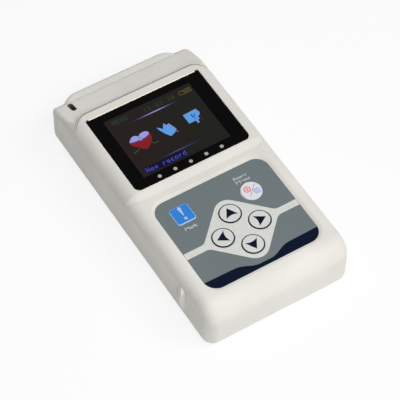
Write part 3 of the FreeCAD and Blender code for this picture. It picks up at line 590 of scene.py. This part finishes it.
def painted_edge(key, outline, mat):
    """Paint around the eased edge of a key's cap; outline(inset) is the cap's side moved inwards."""
    top = box_mm(key)[1][2]
    low = top - CAP_EDGE
    section = (
        (CAP_EDGE + PAINT_LAP, top - PAINT_BITE),
        (CAP_EDGE + PAINT_LAP, top + PAINT),
        (CAP_EDGE - PAINT_EASE, top + PAINT),
        (-PAINT, low + PAINT_EASE),
        (-PAINT, low - PAINT_FOOT),
        (PAINT_BITE, low - PAINT_FOOT),
    )
    loops = [at_height(outline(inset), z) for inset, z in section]
    band_piece(key + "_edge", loops, mat, key)


def arrow_edges():
    for key in ARROWS:
        x, y = middle_mm(key)

        def outline(inset):
            return circle(x, y, arrow_radius - inset, 64)

        painted_edge(key, outline, RING_INK)


ARROW_TIP = 2.42             # how far the arrowhead's tip stands before the key's centre
ARROW_WING = (2.35, -1.55)   # the end of a wing
ARROW_DENT = -0.88           # and the deepest point of the hollow back
ARROW_STEPS = 8


def arrow_outline():
    """Arrowhead that points towards +Y, with a hollow back."""
    wing_x, wing_y = ARROW_WING
    points = [(0, ARROW_TIP), (-wing_x, wing_y)]
    for index in range(1, ARROW_STEPS):
        x = -wing_x + 2 * wing_x * index / ARROW_STEPS
        points.append((x, wing_y + (ARROW_DENT - wing_y) * (1 - (x / wing_x) ** 2)))
    points.append((wing_x, wing_y))
    return points


def arrow_signs():
    for key, degrees in ARROWS.items():
        outline = turned(arrow_outline(), math.radians(degrees))
        sign = moved(outline, middle_mm(key))
        flat_piece(key + "_sign", [sign], key_top, NAVY_INK, key)


# places on a key and beside it are counted from the key's centre
MARK_CORNER = 1.2            # radius of the mark key's corners
MARK_STEM = [(0.86, 3.0, 0.42), (-0.66, 3.0, 0.42), (-0.04, -0.75, 0.12), (0.3, -0.75, 0.12)]
MARK_DOT = (0.14, -2.05, 0.62)       # place and radius
MARK_WORD = (-2.5, -6.7, 2.2, -5.3)  # box that the word fills


def mark_key_print():
    low, high = box_mm("key_mark")
    x, y = middle_mm("key_mark")
    half = (high[1] - low[1]) / 2

    def outline(inset):
        reach = half - inset
        corner = MARK_CORNER - inset
        return rectangle(x - reach, y - reach, x + reach, y + reach, corner)

    painted_edge("key_mark", outline, BLUE_EDGE_INK)
    for name, sign in (("mark_stem", rounded(MARK_STEM)), ("mark_dot", circle(*MARK_DOT, 24))):
        flat_piece(name, [moved(sign, (x, y))], high[2], BLUE_EDGE_INK, "key_mark")
    x0, y0, x1, y1 = MARK_WORD
    fit = (x + x0, y + y0, x + x1, y + y1)
    word_piece("mark_word", "Mark", fit, overlay_top, WORD_INK)


RING_PLACE = (-1.05, 1.0)
RING_RADII = (1.32, 1.02)
BAR_HALF = 0.6               # half the length of the bar in the ring
BAR_WIDTH = 0.3
DIVIDER = [(-1.65, -2.1), (2.5, 1.9)]
FINE_LINE = 0.16             # width of the divider and of the rows on the page
PAGE_PLACE = (1.7, -1.1)
PAGE_EDGES = ((1.05, 0.2), (0.86, 0.05))     # half side and corner radius, outside and inside
PAGE_ROWS = (-0.3, 0.3)
ROW_SPAN = (-0.5, 0.3)
POWER_WORDS = (("power_word", "Power", 7.7), ("menu_word", "Menu", 5.9))     # with their tops
POWER_WORD_SPAN = (-2.85, 2.5)
POWER_WORD_HEIGHT = 1.35


def power_key_print():
    x, y = middle_mm("key_power")
    top = box_mm("key_power")[1][2]

    def ink(name, loops, place, mat, layer=0):
        placed = [moved(loop, (x + place[0], y + place[1])) for loop in loops]
        flat_piece(name, placed, top + layer * INK, mat, "key_power")

    ring = [circle(0, 0, radius, 32) for radius in RING_RADII]
    ink("power_ring", ring, RING_PLACE, RED_INK)
    ink("power_fill", ring[1:], RING_PLACE, PINK_INK)
    ink("power_bar", [stroke([(0, -BAR_HALF), (0, BAR_HALF)], BAR_WIDTH)], RING_PLACE, RED_INK, 1)
    ink("power_divider", [stroke(DIVIDER, FINE_LINE)], (0, 0), GREY_INK)
    page = [rectangle(-half, -half, half, half, corner) for half, corner in PAGE_EDGES]
    ink("menu_frame", page, PAGE_PLACE, BLUE_INK)
    ink("menu_page", page[1:], PAGE_PLACE, SKY_INK)
    rows = [stroke([(ROW_SPAN[0], row), (ROW_SPAN[1], row)], FINE_LINE) for row in PAGE_ROWS]
    ink("menu_rows", rows, PAGE_PLACE, BLUE_INK, 1)
    for name, text, rise in POWER_WORDS:
        fit = (x + POWER_WORD_SPAN[0], y + rise - POWER_WORD_HEIGHT, x + POWER_WORD_SPAN[1], y + rise)
        word_piece(name, text, fit, overlay_top, WORD_INK)


pale_field()
navy_wave()
arrow_edges()
arrow_signs()
mark_key_print()
power_key_print()

# ---------------------------------------------------------------- picture on the display

LIT_SIZE = (35.04, 28.03)    # lit area of the display

window_top = box_mm("screen_window")[1][2]
screen_x, screen_y = middle_mm("display_glass")

FIELD_DRIFT = (-17, 8)       # the lit field's colour drifts between these places along X

FIELD_GLOW = lit(
    "display_field", linear(40, 30, 30), linear(31, 33, 29), [screen_x + x for x in FIELD_DRIFT]
)
GLOW_COLOURS = {
    "green": (38, 76, 48),
    "clock": (54, 72, 36),
    "cell": (96, 88, 44),
    "lilac": (158, 166, 234),
    "purple": (122, 62, 130),
    "fold": (88, 126, 178),
    "red": (138, 32, 32),
    "icon": (112, 160, 226),
    "icon_bright": (96, 168, 240),
    "icon_dark": (44, 92, 194),
    "icon_shade": (72, 124, 204),
    "icon_red": (84, 46, 48),
    "pencil": (104, 92, 100),
    "trace": (92, 104, 98),
    "bar": (18, 16, 46),
    "halo": (18, 24, 58),
    "caption": (84, 90, 214),
}
GLOWS = {name: lit(name + "_glow", linear(*colour)) for name, colour in GLOW_COLOURS.items()}


def on_screen(points):
    return moved(points, (screen_x, screen_y))


def picture(name, loops, mat, layer=1):
    """Part of the lit picture; a higher layer covers the lower ones."""
    flat_piece(name, [on_screen(loop) for loop in loops], window_top + layer * INK, mat)


LETTER_SHARE = 0.74          # most of its cell's width that a letter takes


def picture_word(name, text, place, cell, height, mat, layer=1):
    """Lettering with every letter in a cell of its own, as a display draws it; place is its low left."""
    capital = curve_mesh(text_curve("glyph", "M"))
    scale = height / max(v.co.y for v in capital.vertices)
    left, low = screen_x + place[0], screen_y + place[1]
    points, faces = [], []
    for index, letter in enumerate(text):
        if letter == " ":
            continue
        mesh = curve_mesh(text_curve("glyph", letter))
        xs = [v.co.x for v in mesh.vertices]
        own_middle = (max(xs) + min(xs)) / 2
        width = (max(xs) - min(xs)) * scale
        squeeze = min(1, LETTER_SHARE * cell / width)
        middle = left + (index + 0.5) * cell
        faces += [[len(points) + corner for corner in face.vertices] for face in mesh.polygons]
        for v in mesh.vertices:
            points.append((middle + (v.co.x - own_middle) * scale * squeeze, low + v.co.y * scale))
    layer_piece(name, points, faces, window_top + layer * INK, mat)


# outlines of the picture are in millimetres from the middle of the display
HEART = [
    (-13.9, 1.95), (-12.5, 3.2), (-11.1, 3.3), (-10.05, 2.55), (-9.1, 3.15), (-7.8, 3.4),
    (-6.5, 3.05), (-5.95, 2.1), (-5.95, 0.8), (-6.35, -0.5), (-7.2, -1.75), (-8.4, -2.85),
    (-10.25, -3.8), (-11.6, -2.75), (-12.8, -1.35), (-13.8, -0.2), (-14.15, 0.85),
]
HEART_SHINE = [
    (-14.0, 1.45), (-13.8, 2.0), (-12.45, 3.15), (-11.1, 3.25), (-10.05, 2.5), (-9.1, 3.1),
    (-7.8, 3.3), (-6.6, 3.0), (-6.15, 2.3), (-6.5, 1.5), (-8.1, 0.95), (-9.5, 0.8),
    (-10.1, 0.35), (-10.7, 0.95), (-12.1, 1.0),
]
HEART_SEAM = 0.45            # purple seam below the shine
HEART_FOLD = [(-10.05, 2.45), (-9.95, 1.6), (-10.1, 0.5)]
TRACES = {
    "trace_left": [(-15.2, -3.3), (-13.8, -3.0), (-12.5, -2.45)],
    "trace_right": [(-7.3, -2.2), (-6.6, -3.1), (-5.0, -3.0)],
}
FOLDER = [
    (-2.7, 2.45), (-1.8, 1.8), (-1.1, 0.75), (0.4, 3.05), (0.85, 1.75), (2.0, 1.95),
    (3.1, -1.55), (2.15, -2.45), (-0.1, -3.4), (-1.4, -1.35), (-2.35, 0.8),
]
FOLDER_FRONT = [(-1.1, 0.75), (0.3, 0.9), (1.9, -0.5), (1.3, -2.1), (-0.1, -2.8), (-1.1, -1.2)]
MONITOR = [
    (8.05, 2.45), (13.4, 2.7), (13.9, 0.7), (13.4, -0.2), (12.5, -0.6), (12.4, -1.85),
    (11.6, -1.95), (11.7, -3.1), (10.95, -3.35), (10.7, -1.85), (8.1, -1.95),
]
MONITOR_FACE = [(8.7, 1.9), (12.6, 2.1), (12.9, 0.9), (12.0, -0.3), (11.4, -1.3), (8.7, -1.35)]
FOLD_WIDTH = 0.22
TRACE_WIDTH = 0.18
SHADE_SHIFT = (-0.22, -0.2)  # from an icon to the dark shade behind it


def heart_icon():
    """Heart with a shine on its upper half, and a trace that runs in from each side."""
    outline = smooth(HEART)
    shine = smooth(HEART_SHINE)
    picture("heart_low", [outline], GLOWS["red"])
    picture("heart_seam", [moved(shine, (0.03, -HEART_SEAM))], GLOWS["purple"], 2)
    picture("heart_high", [shine], GLOWS["lilac"], 3)
    picture("heart_fold", [stroke(HEART_FOLD, FOLD_WIDTH)], GLOWS["fold"], 4)
    for name, line in TRACES.items():
        picture(name, [stroke(line, TRACE_WIDTH)], GLOWS["trace"])


def folder_icon():
    """Open folder with its front leaf."""
    picture("folder_shade", [moved(FOLDER, SHADE_SHIFT)], GLOWS["halo"])
    picture("folder", [FOLDER], GLOWS["icon"], 2)
    picture("folder_front", [smooth(FOLDER_FRONT, 4)], GLOWS["icon_bright"], 3)
    pencil = [(2.4, -2.3), (3.0, -2.05), (3.2, -3.1), (2.3, -2.75)]
    picture("folder_pencil", [pencil], GLOWS["pencil"], 3)


def settings_icon():
    """Monitor on a foot, with a tool mark in its middle."""
    picture("monitor_shade", [moved(MONITOR, SHADE_SHIFT)], GLOWS["halo"])
    picture("monitor", [MONITOR], GLOWS["icon"], 2)
    picture("monitor_face", [MONITOR_FACE], GLOWS["icon_bright"], 3)
    tool = stroke([(10.85, 1.45), (10.75, 0.45), (10.95, -0.45)], 0.5)
    picture("monitor_tool_a", [tool], GLOWS["icon_dark"], 4)
    tool = stroke([(12.1, 1.0), (11.5, 0.3), (10.95, -0.3)], 0.42)
    picture("monitor_tool_b", [tool], GLOWS["icon_dark"], 5)
    picture("monitor_slot", [stroke([(10.7, -1.15), (11.8, -1.1)], 0.35)], GLOWS["icon_shade"], 4)
    picture("monitor_pencil", [stroke([(13.25, -1.1), (13.1, -3.0)], 0.35)], GLOWS["icon_red"], 2)


BATTERY_BOX = (11.7, 10.4, 16.8, 12.3)
BATTERY_WALL = 0.3
BATTERY_BARS = (13.7, 14.6, 15.5)
BATTERY_BAR_WIDTH = 0.55
BATTERY_BAR_ENDS = (10.9, 11.8)


def battery_sign():
    """Battery with a round nose to the left and three bars."""
    loops = []
    for inset, nose, tail in ((0, 0.9, 0.2), (BATTERY_WALL, 0.6, 0.1)):
        x0, y0, x1, y1 = BATTERY_BOX
        x0, y0, x1, y1 = x0 + inset, y0 + inset, x1 - inset, y1 - inset
        loops.append(rounded([(x0, y0, nose), (x1, y0, tail), (x1, y1, tail), (x0, y1, nose)]))
    picture("battery_outline", loops, GLOWS["cell"])
    low, high = BATTERY_BAR_ENDS
    bars = [rectangle(x, low, x + BATTERY_BAR_WIDTH, high) for x in BATTERY_BARS]
    picture("battery_bars", bars, GLOWS["cell"])


# colours of the fading lines on the screen, from their left end to their right end
UPPER_STOPS = ((33, 30, 27), (70, 64, 110), (138, 134, 196), (158, 154, 222), (84, 78, 160), (33, 30, 27))
LOWER_STOPS = ((33, 30, 27), (58, 52, 96), (92, 80, 140), (72, 64, 140), (58, 46, 110), (33, 30, 27))


def fading_line(name, x0, x1, y, width, stops):
    """Lit line that is widest in its middle and thins out to both ends."""
    line = [(x0, y), ((x0 + x1) / 2, y - width / 2), (x1, y), ((x0 + x1) / 2, y + width / 2)]
    colours = [linear(*stop) for stop in stops]
    mat = lit_line(name + "_glow", screen_x + x0, screen_x + x1, colours)
    picture(name, [line], mat)


CAPTION_BAR = (-15.6, -13.4, 0.7, -10.5)


def display_picture():
    half_x, half_y = LIT_SIZE[0] / 2, LIT_SIZE[1] / 2
    picture("display_field", [rectangle(-half_x, -half_y, half_x, half_y)], FIELD_GLOW, 0)
    picture_word("menu_title", "MENU", (-15.4, 10.8), cell=1.6, height=2.0, mat=GLOWS["green"])
    picture_word("clock_digits", "12:02:30", (-3.0, 10.4), cell=1.63, height=1.75, mat=GLOWS["clock"])
    battery_sign()
    fading_line("upper_line", x0=-11.2, x1=11.4, y=9.1, width=0.44, stops=UPPER_STOPS)
    fading_line("lower_line", x0=-10.4, x1=10.0, y=-9.85, width=0.38, stops=LOWER_STOPS)
    heart_icon()
    folder_icon()
    settings_icon()
    picture("caption_bar", [rectangle(*CAPTION_BAR)], GLOWS["bar"])
    place = (-15.5, -12.9)
    picture_word("caption", "New record", place, cell=1.62, height=2.0, mat=GLOWS["caption"], layer=2)


display_picture()

# ---------------------------------------------------------------- small details of the case

# painted highlight: bright cream on the window's bevel stands in for light along the recess's far edge
highlight_cream = moulded("highlight_cream", (0.98, 0.92, 0.8), 0.35, 0.1, 0.3, 0.02)
# painted shade: dark tone of the lining stands in for the shade inside the strap slot
slot_shade_paint = moulded("slot_shade_paint", linear(112, 109, 102), 0.7, 0.4, 0.2, 0.1)
sleeve_band = moulded("sleeve_band", linear(176, 132, 60), 0.3, 0.1, 0.2, 0.05, coat=0.4)
# painted shade: a flat dark cross stands in for the shade in each screw's recess
recess_shade_paint = metal("recess_shade_paint", (0.12, 0.12, 0.12), 0.5)
# painted shade: darker tone of the bead along the plateau's far edge
shade_bead_paint = moulded("shade_bead_paint", linear(158, 156, 151), 0.5)
# painted highlight: lighter copy of the slider's plastic for the lit shelf on the rib
slider_highlight_paint = moulded("slider_highlight_paint", linear(240, 239, 234), 0.4)

window_low, window_high = box_mm("screen_window")
plateau_height = box_mm("front_cover")[1][2]


BEVEL_INSET = 1.3            # the bevel stops this far from the window's ends
BEVEL_RUN = 0.32             # and reaches this far onto the window
BEVEL_BELOW = 0.04           # its upper edge lies this far below the plateau
BEVEL_GAP = 0.02             # clear of the window, and into the wall behind it
BEVEL_STEPS = 24


def window_edge():
    """Bevel in the corner between the window and the far wall of its recess, in bright cream: a painted
    highlight.
    """
    far = window_high[1]
    left, right = window_low[0] + BEVEL_INSET, window_high[0] - BEVEL_INSET
    back, foot = far + BEVEL_GAP, window_top + BEVEL_GAP
    section = ((far - BEVEL_RUN, foot), (back, plateau_height - BEVEL_BELOW), (back, foot))
    loops = []
    for y, z in section:
        run = [left + (right - left) * step / BEVEL_STEPS for step in range(BEVEL_STEPS + 1)]
        loops.append([(x, y, z) for x in run])
    band_piece("window_bevel_highlight", loops, highlight_cream, closed=False)


RIM_CORNER = 7.4             # radius of the plateau's far corners
RIM_BEYOND = 3.0             # from the window's far edge to the plateau's
RIM_FLAT = 23.0              # the plateau is level up to here and then rolls off to each side
RIM_ROLL = 5.6               # with this radius
RIM_ROLLED = 0.999           # most of the roll that the bead follows, short of upright
RIM_SWEEP = 64               # angle at which the bead ends, round each corner
RIM_STEP = 4
RIM_MIDDLE = 0.01            # stands for the middle, where an angle of 0 has no side
RIM_FULL = 36                # the bead is full up to this angle and fades beyond it
RIM_THIN = 0.1               # share that is left at its ends
RIM_SECTION = (              # steps out over the edge and up from the face
    (-0.42, -0.1), (-0.38, 0.02), (-0.1, 0.03), (0.2, -0.04), (0.28, -0.16), (0.1, -0.3),
)
RIM_LIFT = 0.012             # of the whole bead


def rim_point(angle, half_width, far):
    """Place on the plateau's far edge, the direction out over the edge and the face's normal."""
    reach = half_width - RIM_CORNER
    turn = math.radians(angle)
    x = math.copysign(reach, angle) + RIM_CORNER * math.sin(turn)
    y = far - RIM_CORNER + RIM_CORNER * math.cos(turn)
    over = min(max(abs(x) - RIM_FLAT, 0) / RIM_ROLL, RIM_ROLLED)
    lean = math.copysign(math.asin(over), x)
    z = plateau_height - RIM_ROLL * (1 - math.cos(lean))
    normal = Vector((math.sin(lean), 0, math.cos(lean)))
    out = Vector((math.sin(turn), math.cos(turn), 0))
    out = (out - normal * out.dot(normal)).normalized()
    return Vector((x, y, z)), out, normal


def rim_bead():
    """Fine bead along the plateau's far edge, toned darker as painted shade of that edge, that fades out
    round its corners.
    """
    half_width = box_mm("back_cover")[1][0]
    far = window_high[1] + RIM_BEYOND
    one_side = list(range(RIM_STEP, RIM_SWEEP + 1, RIM_STEP))
    angles = [-angle for angle in reversed(one_side)] + [RIM_MIDDLE] + one_side
    loops = []
    for over, lift in RIM_SECTION:
        loop = []
        for angle in angles:
            place, out, normal = rim_point(angle, half_width, far)
            left = min((RIM_SWEEP - abs(angle)) / (RIM_SWEEP - RIM_FULL), 1)
            fade = RIM_THIN + (1 - RIM_THIN) * left
            loop.append(tuple(place + out * over * fade + normal * (lift * fade + RIM_LIFT)))
        loops.append(loop)
    band_piece("plateau_shade_bead", loops, shade_bead_paint, closed=False)


SLOT_X = (-23.15, -21.15)            # sides and ends of the strap slot
SLOT_Y = (46.1, 51.1)
SLOT_CORNER = 0.95
STRIP_LINE = (41.4, 19.77, 0.3536)   # y, height there and fall of the tilted strip
STRIP_END = (48.8, 11.42, 5.4)       # y and height of the centre of its rolled end, and radius
STRIP_SLANT = 0.333                  # share of that radius at which the flat part ends
SLOT_SHADE_FACES = (0.02, 0.09)          # outer and inner face of the painted shade lining, from the slot's wall
SLOT_SHADE_BELOW = 0.12                  # its rim lies this far below the strip
SLOT_SHADE_FOOT = 13.4                   # height of its foot


def strip_height(y):
    """Height of the tilted strip's face."""
    flat = STRIP_LINE[1] - STRIP_LINE[2] * (y - STRIP_LINE[0])
    if y < STRIP_END[0] + STRIP_END[2] * STRIP_SLANT:
        return flat
    return STRIP_END[1] + math.sqrt(STRIP_END[2] ** 2 - (y - STRIP_END[0]) ** 2)


def strap_slot_shade():
    """Dark lining in the mouth of the strap slot: painted shade for the slot's shadowed walls."""
    outer, inner = SLOT_SHADE_FACES
    loops = []
    for inset, at_mouth in ((outer, False), (outer, True), (inner, True), (inner, False)):
        outline = rectangle(
            SLOT_X[0] + inset, SLOT_Y[0] + inset, SLOT_X[1] - inset, SLOT_Y[1] - inset,
            SLOT_CORNER - inset,
        )
        loops.append([
            (x, y, strip_height(y) - SLOT_SHADE_BELOW if at_mouth else SLOT_SHADE_FOOT) for x, y in outline
        ])
    band_piece("strap_slot_shade", loops, slot_shade_paint)


RIB_ENDS = (-39.2, -34.6)    # ends of the thumb rib along Y
SHELF_HEIGHT = 11.7          # of the head's foot


def slider_head():
    """Head of the thumb rib: a shelf above the rib's crest, in a lighter copy of the slider's plastic as
    a painted highlight.
    """
    crest = box_mm("lock_slider")[0][0]
    wall_x = box_mm("back_cover")[0][0] - 0.02
    near, far = RIB_ENDS
    points = [
        (wall_x, near, SHELF_HEIGHT), (crest, near + 0.8, SHELF_HEIGHT), (wall_x, far, SHELF_HEIGHT),
        (wall_x, near, 16.75), (crest + 0.25, near + 0.7, 16.3), (wall_x, far - 0.5, 16.6),
        (wall_x + 0.06, near + 0.3, 17.15), (wall_x + 0.06, far - 0.9, 17.1),
    ]
    faces = [
        (0, 1, 4, 3), (1, 2, 5, 4), (0, 2, 1), (3, 4, 6), (4, 5, 7), (4, 7, 6), (0, 3, 6, 7, 5, 2),
    ]
    mesh_piece("slider_head", points, faces, slider_highlight_paint, "lock_slider")


WALL_MARKS = ((-27.3, 13.7), (-31.4, 12.7))  # y and z of their middles
WALL_MARK_SECTION = ((0.85, -0.05), (0.7, 0.06), (0.45, 0.1), (0.15, 0.11))  # radius and rise
WALL_MARK_FLATNESS = 0.7     # height over width


def wall_marks():
    """Two faint moulded marks on the left wall, beside the slider."""
    wall_x = box_mm("back_cover")[0][0]
    for index, (y, z) in enumerate(WALL_MARKS, start=1):
        loops = []
        for radius, rise in WALL_MARK_SECTION:
            loop = []
            for along, up in circle(0, 0, 1, 28):
                loop.append((wall_x - rise, y + along * radius, z + up * radius * WALL_MARK_FLATNESS))
            loops.append(loop)
        band_piece("wall_mark_%d" % index, loops, housing)


SCREW_HEAD = 1.9             # radius of a housing screw's head
CROSS_ARM = 1.05             # from the middle of its cross to an arm's end
CROSS_HALF = 0.2             # half the width of an arm


def screw_recesses():
    """Cross recess in the head of each housing screw, seen from the back and each turned its own way; a
    flat dark cross of painted shade stands in for the hollow.
    """
    low, high = box_mm("housing_screws")
    arm, half = CROSS_ARM, CROSS_HALF
    cross = [
        (-half, arm), (-half, half), (-arm, half), (-arm, -half), (-half, -half), (-half, -arm),
        (half, -arm), (half, -half), (arm, -half), (arm, half), (half, half), (half, arm),
    ]
    for column, x in enumerate((low[0] + SCREW_HEAD, high[0] - SCREW_HEAD)):
        for row, y in enumerate((low[1] + SCREW_HEAD, high[1] - SCREW_HEAD)):
            outline = moved(turned(cross, 0.5 + column + 2.1 * row), (x, y))
            name = "screw_cross_%d_%d" % (column + 1, row + 1)
            flat_piece(name, [outline], low[2] - INK, recess_shade_paint)


BAND_FROM_END = 2.2
BAND_LENGTH = 11
BAND_FACES = (-0.005, 0.015)         # inner and outer face, from the sleeve


def cell_bands():
    """Printed band around the plus end of each cell's sleeve; the cells lie head to tail."""
    inner, outer = BAND_FACES
    for name, run in (("battery_cell_a", -1), ("battery_cell_b", 1)):
        low, high = box_mm(name)
        x, z = (low[0] + high[0]) / 2, (low[2] + high[2]) / 2
        radius = (high[0] - low[0]) / 2
        end = high[1] if run < 0 else low[1]
        start = end + run * BAND_FROM_END
        loops = []
        for along, out in ((0, inner), (0, outer), (BAND_LENGTH, outer), (BAND_LENGTH, inner)):
            ring = circle(x, z, radius + out)
            loops.append([(ring_x, start + run * along, ring_z) for ring_x, ring_z in ring])
        band_piece(name + "_band", loops, sleeve_band)


window_edge()
rim_bead()
strap_slot_shade()
slider_head()
wall_marks()
screw_recesses()
cell_bands()

# ---------------------------------------------------------------- camera

CAMERA_PLACE = (-226.27, -357.10, 583.29)    # millimetres
CAMERA_AZIMUTH = math.radians(-32.5336)
CAMERA_ELEVATION = math.radians(53.9354)
CAMERA_ROLL = math.radians(1.20066)
CAMERA_LENS = 183.6
SENSOR_WIDTH = 36


def make_camera():
    """Camera at the photograph's place, angle and lens."""
    a, e, r = CAMERA_AZIMUTH, CAMERA_ELEVATION, CAMERA_ROLL
    back = Vector((math.sin(a) * math.cos(e), -math.cos(a) * math.cos(e), math.sin(e)))
    right = Vector((math.cos(a), math.sin(a), 0))
    up = back.cross(right)
    rolled_right = math.cos(r) * right + math.sin(r) * up
    rolled_up = -math.sin(r) * right + math.cos(r) * up
    matrix = Matrix((rolled_right, rolled_up, back)).transposed().to_4x4()
    matrix.translation = Vector(CAMERA_PLACE) * MM
    data = bpy.data.cameras.new("camera")
    data.sensor_width = SENSOR_WIDTH
    data.lens = CAMERA_LENS
    data.clip_start = 0.01
    camera = bpy.data.objects.new("camera", data)
    bpy.context.scene.collection.objects.link(camera)
    camera.matrix_world = matrix
    bpy.context.scene.camera = camera


make_camera()

# ---------------------------------------------------------------- floor and light

FLOOR_HALF = 3.0             # half the floor's side, in metres
FLOOR_DROP = 0.00002         # clear of the case's back, in metres
PAPER_SHADE = 0.93
PAPER_GLOW = 0.84            # share of plain white that the background's rays see in the floor
WORLD_LIGHT = 0.12

# name, place and target in metres, size and power
LIGHTS = (
    ("key_light", (0.7, -0.65, 1.1), (0, 0, 0.01), 0.7, 10.2),
    ("near_light", (-0.08, -0.28, 0.42), (0, -0.03, 0.02), 0.3, 1.22),
    ("back_light", (0.1, 1.0, 0.42), (0, 0.03, 0.02), 0.4, 2.4),
)


def background_rays(nodes, links):
    """1 for the rays that show the background: the camera's, and those of shiny and clear faces."""
    path = nodes.new("ShaderNodeLightPath")
    shiny = nodes.new("ShaderNodeMath")
    shiny.operation = "ADD"
    links.new(path.outputs["Is Glossy Ray"], shiny.inputs[0])
    links.new(path.outputs["Is Transmission Ray"], shiny.inputs[1])
    total = nodes.new("ShaderNodeMath")
    total.operation = "ADD"
    total.use_clamp = True
    links.new(path.outputs["Is Camera Ray"], total.inputs[0])
    links.new(shiny.outputs[0], total.inputs[1])
    return total.outputs[0]


def make_floor():
    """Pale paper that keeps the object's shadow."""
    mesh = bpy.data.meshes.new("floor")
    half, z = FLOOR_HALF, -FLOOR_DROP
    corners = [(-half, -half, z), (half, -half, z), (half, half, z), (-half, half, z)]
    mesh.from_pydata(corners, [], [(0, 1, 2, 3)])
    floor = bpy.data.objects.new("floor", mesh)
    bpy.context.scene.collection.objects.link(floor)
    mat = bpy.data.materials.new("floor_paper")
    mat.use_nodes = True
    nodes, links = mat.node_tree.nodes, mat.node_tree.links
    nodes.clear()
    out = nodes.new("ShaderNodeOutputMaterial")
    paper = nodes.new("ShaderNodeBsdfDiffuse")
    paper.inputs["Color"].default_value = (PAPER_SHADE, PAPER_SHADE, PAPER_SHADE, 1)
    glow = nodes.new("ShaderNodeEmission")
    glow.inputs["Color"].default_value = (1, 1, 1, 1)
    glow.inputs["Strength"].default_value = 1.0
    share = nodes.new("ShaderNodeMath")
    share.operation = "MULTIPLY"
    share.inputs[1].default_value = PAPER_GLOW
    links.new(background_rays(nodes, links), share.inputs[0])
    mix = nodes.new("ShaderNodeMixShader")
    links.new(share.outputs[0], mix.inputs["Fac"])
    links.new(paper.outputs[0], mix.inputs[1])
    links.new(glow.outputs[0], mix.inputs[2])
    links.new(mix.outputs[0], out.inputs["Surface"])
    mesh.materials.append(mat)


def make_world():
    """Weak even light on the object, and white for the background's rays."""
    world = bpy.data.worlds.new("studio")
    world.use_nodes = True
    nodes, links = world.node_tree.nodes, world.node_tree.links
    nodes.clear()
    out = nodes.new("ShaderNodeOutputWorld")
    light = nodes.new("ShaderNodeBackground")
    light.inputs["Color"].default_value = (1, 1, 1, 1)
    light.inputs["Strength"].default_value = WORLD_LIGHT
    white = nodes.new("ShaderNodeBackground")
    white.inputs["Color"].default_value = (1, 1, 1, 1)
    white.inputs["Strength"].default_value = 1.0
    mix = nodes.new("ShaderNodeMixShader")
    links.new(background_rays(nodes, links), mix.inputs["Fac"])
    links.new(light.outputs[0], mix.inputs[1])
    links.new(white.outputs[0], mix.inputs[2])
    links.new(mix.outputs[0], out.inputs["Surface"])
    bpy.context.scene.world = world


def area_light(name, place, target, size, power):
    data = bpy.data.lights.new(name, "AREA")
    data.shape = "SQUARE"
    data.size = size
    data.energy = power
    light = bpy.data.objects.new(name, data)
    bpy.context.scene.collection.objects.link(light)
    light.location = place
    direction = Vector(target) - Vector(place)
    light.rotation_euler = direction.to_track_quat("-Z", "Y").to_euler()


make_floor()
make_world()
for light_values in LIGHTS:
    area_light(*light_values)

bpy.context.scene.view_settings.view_transform = "Standard"
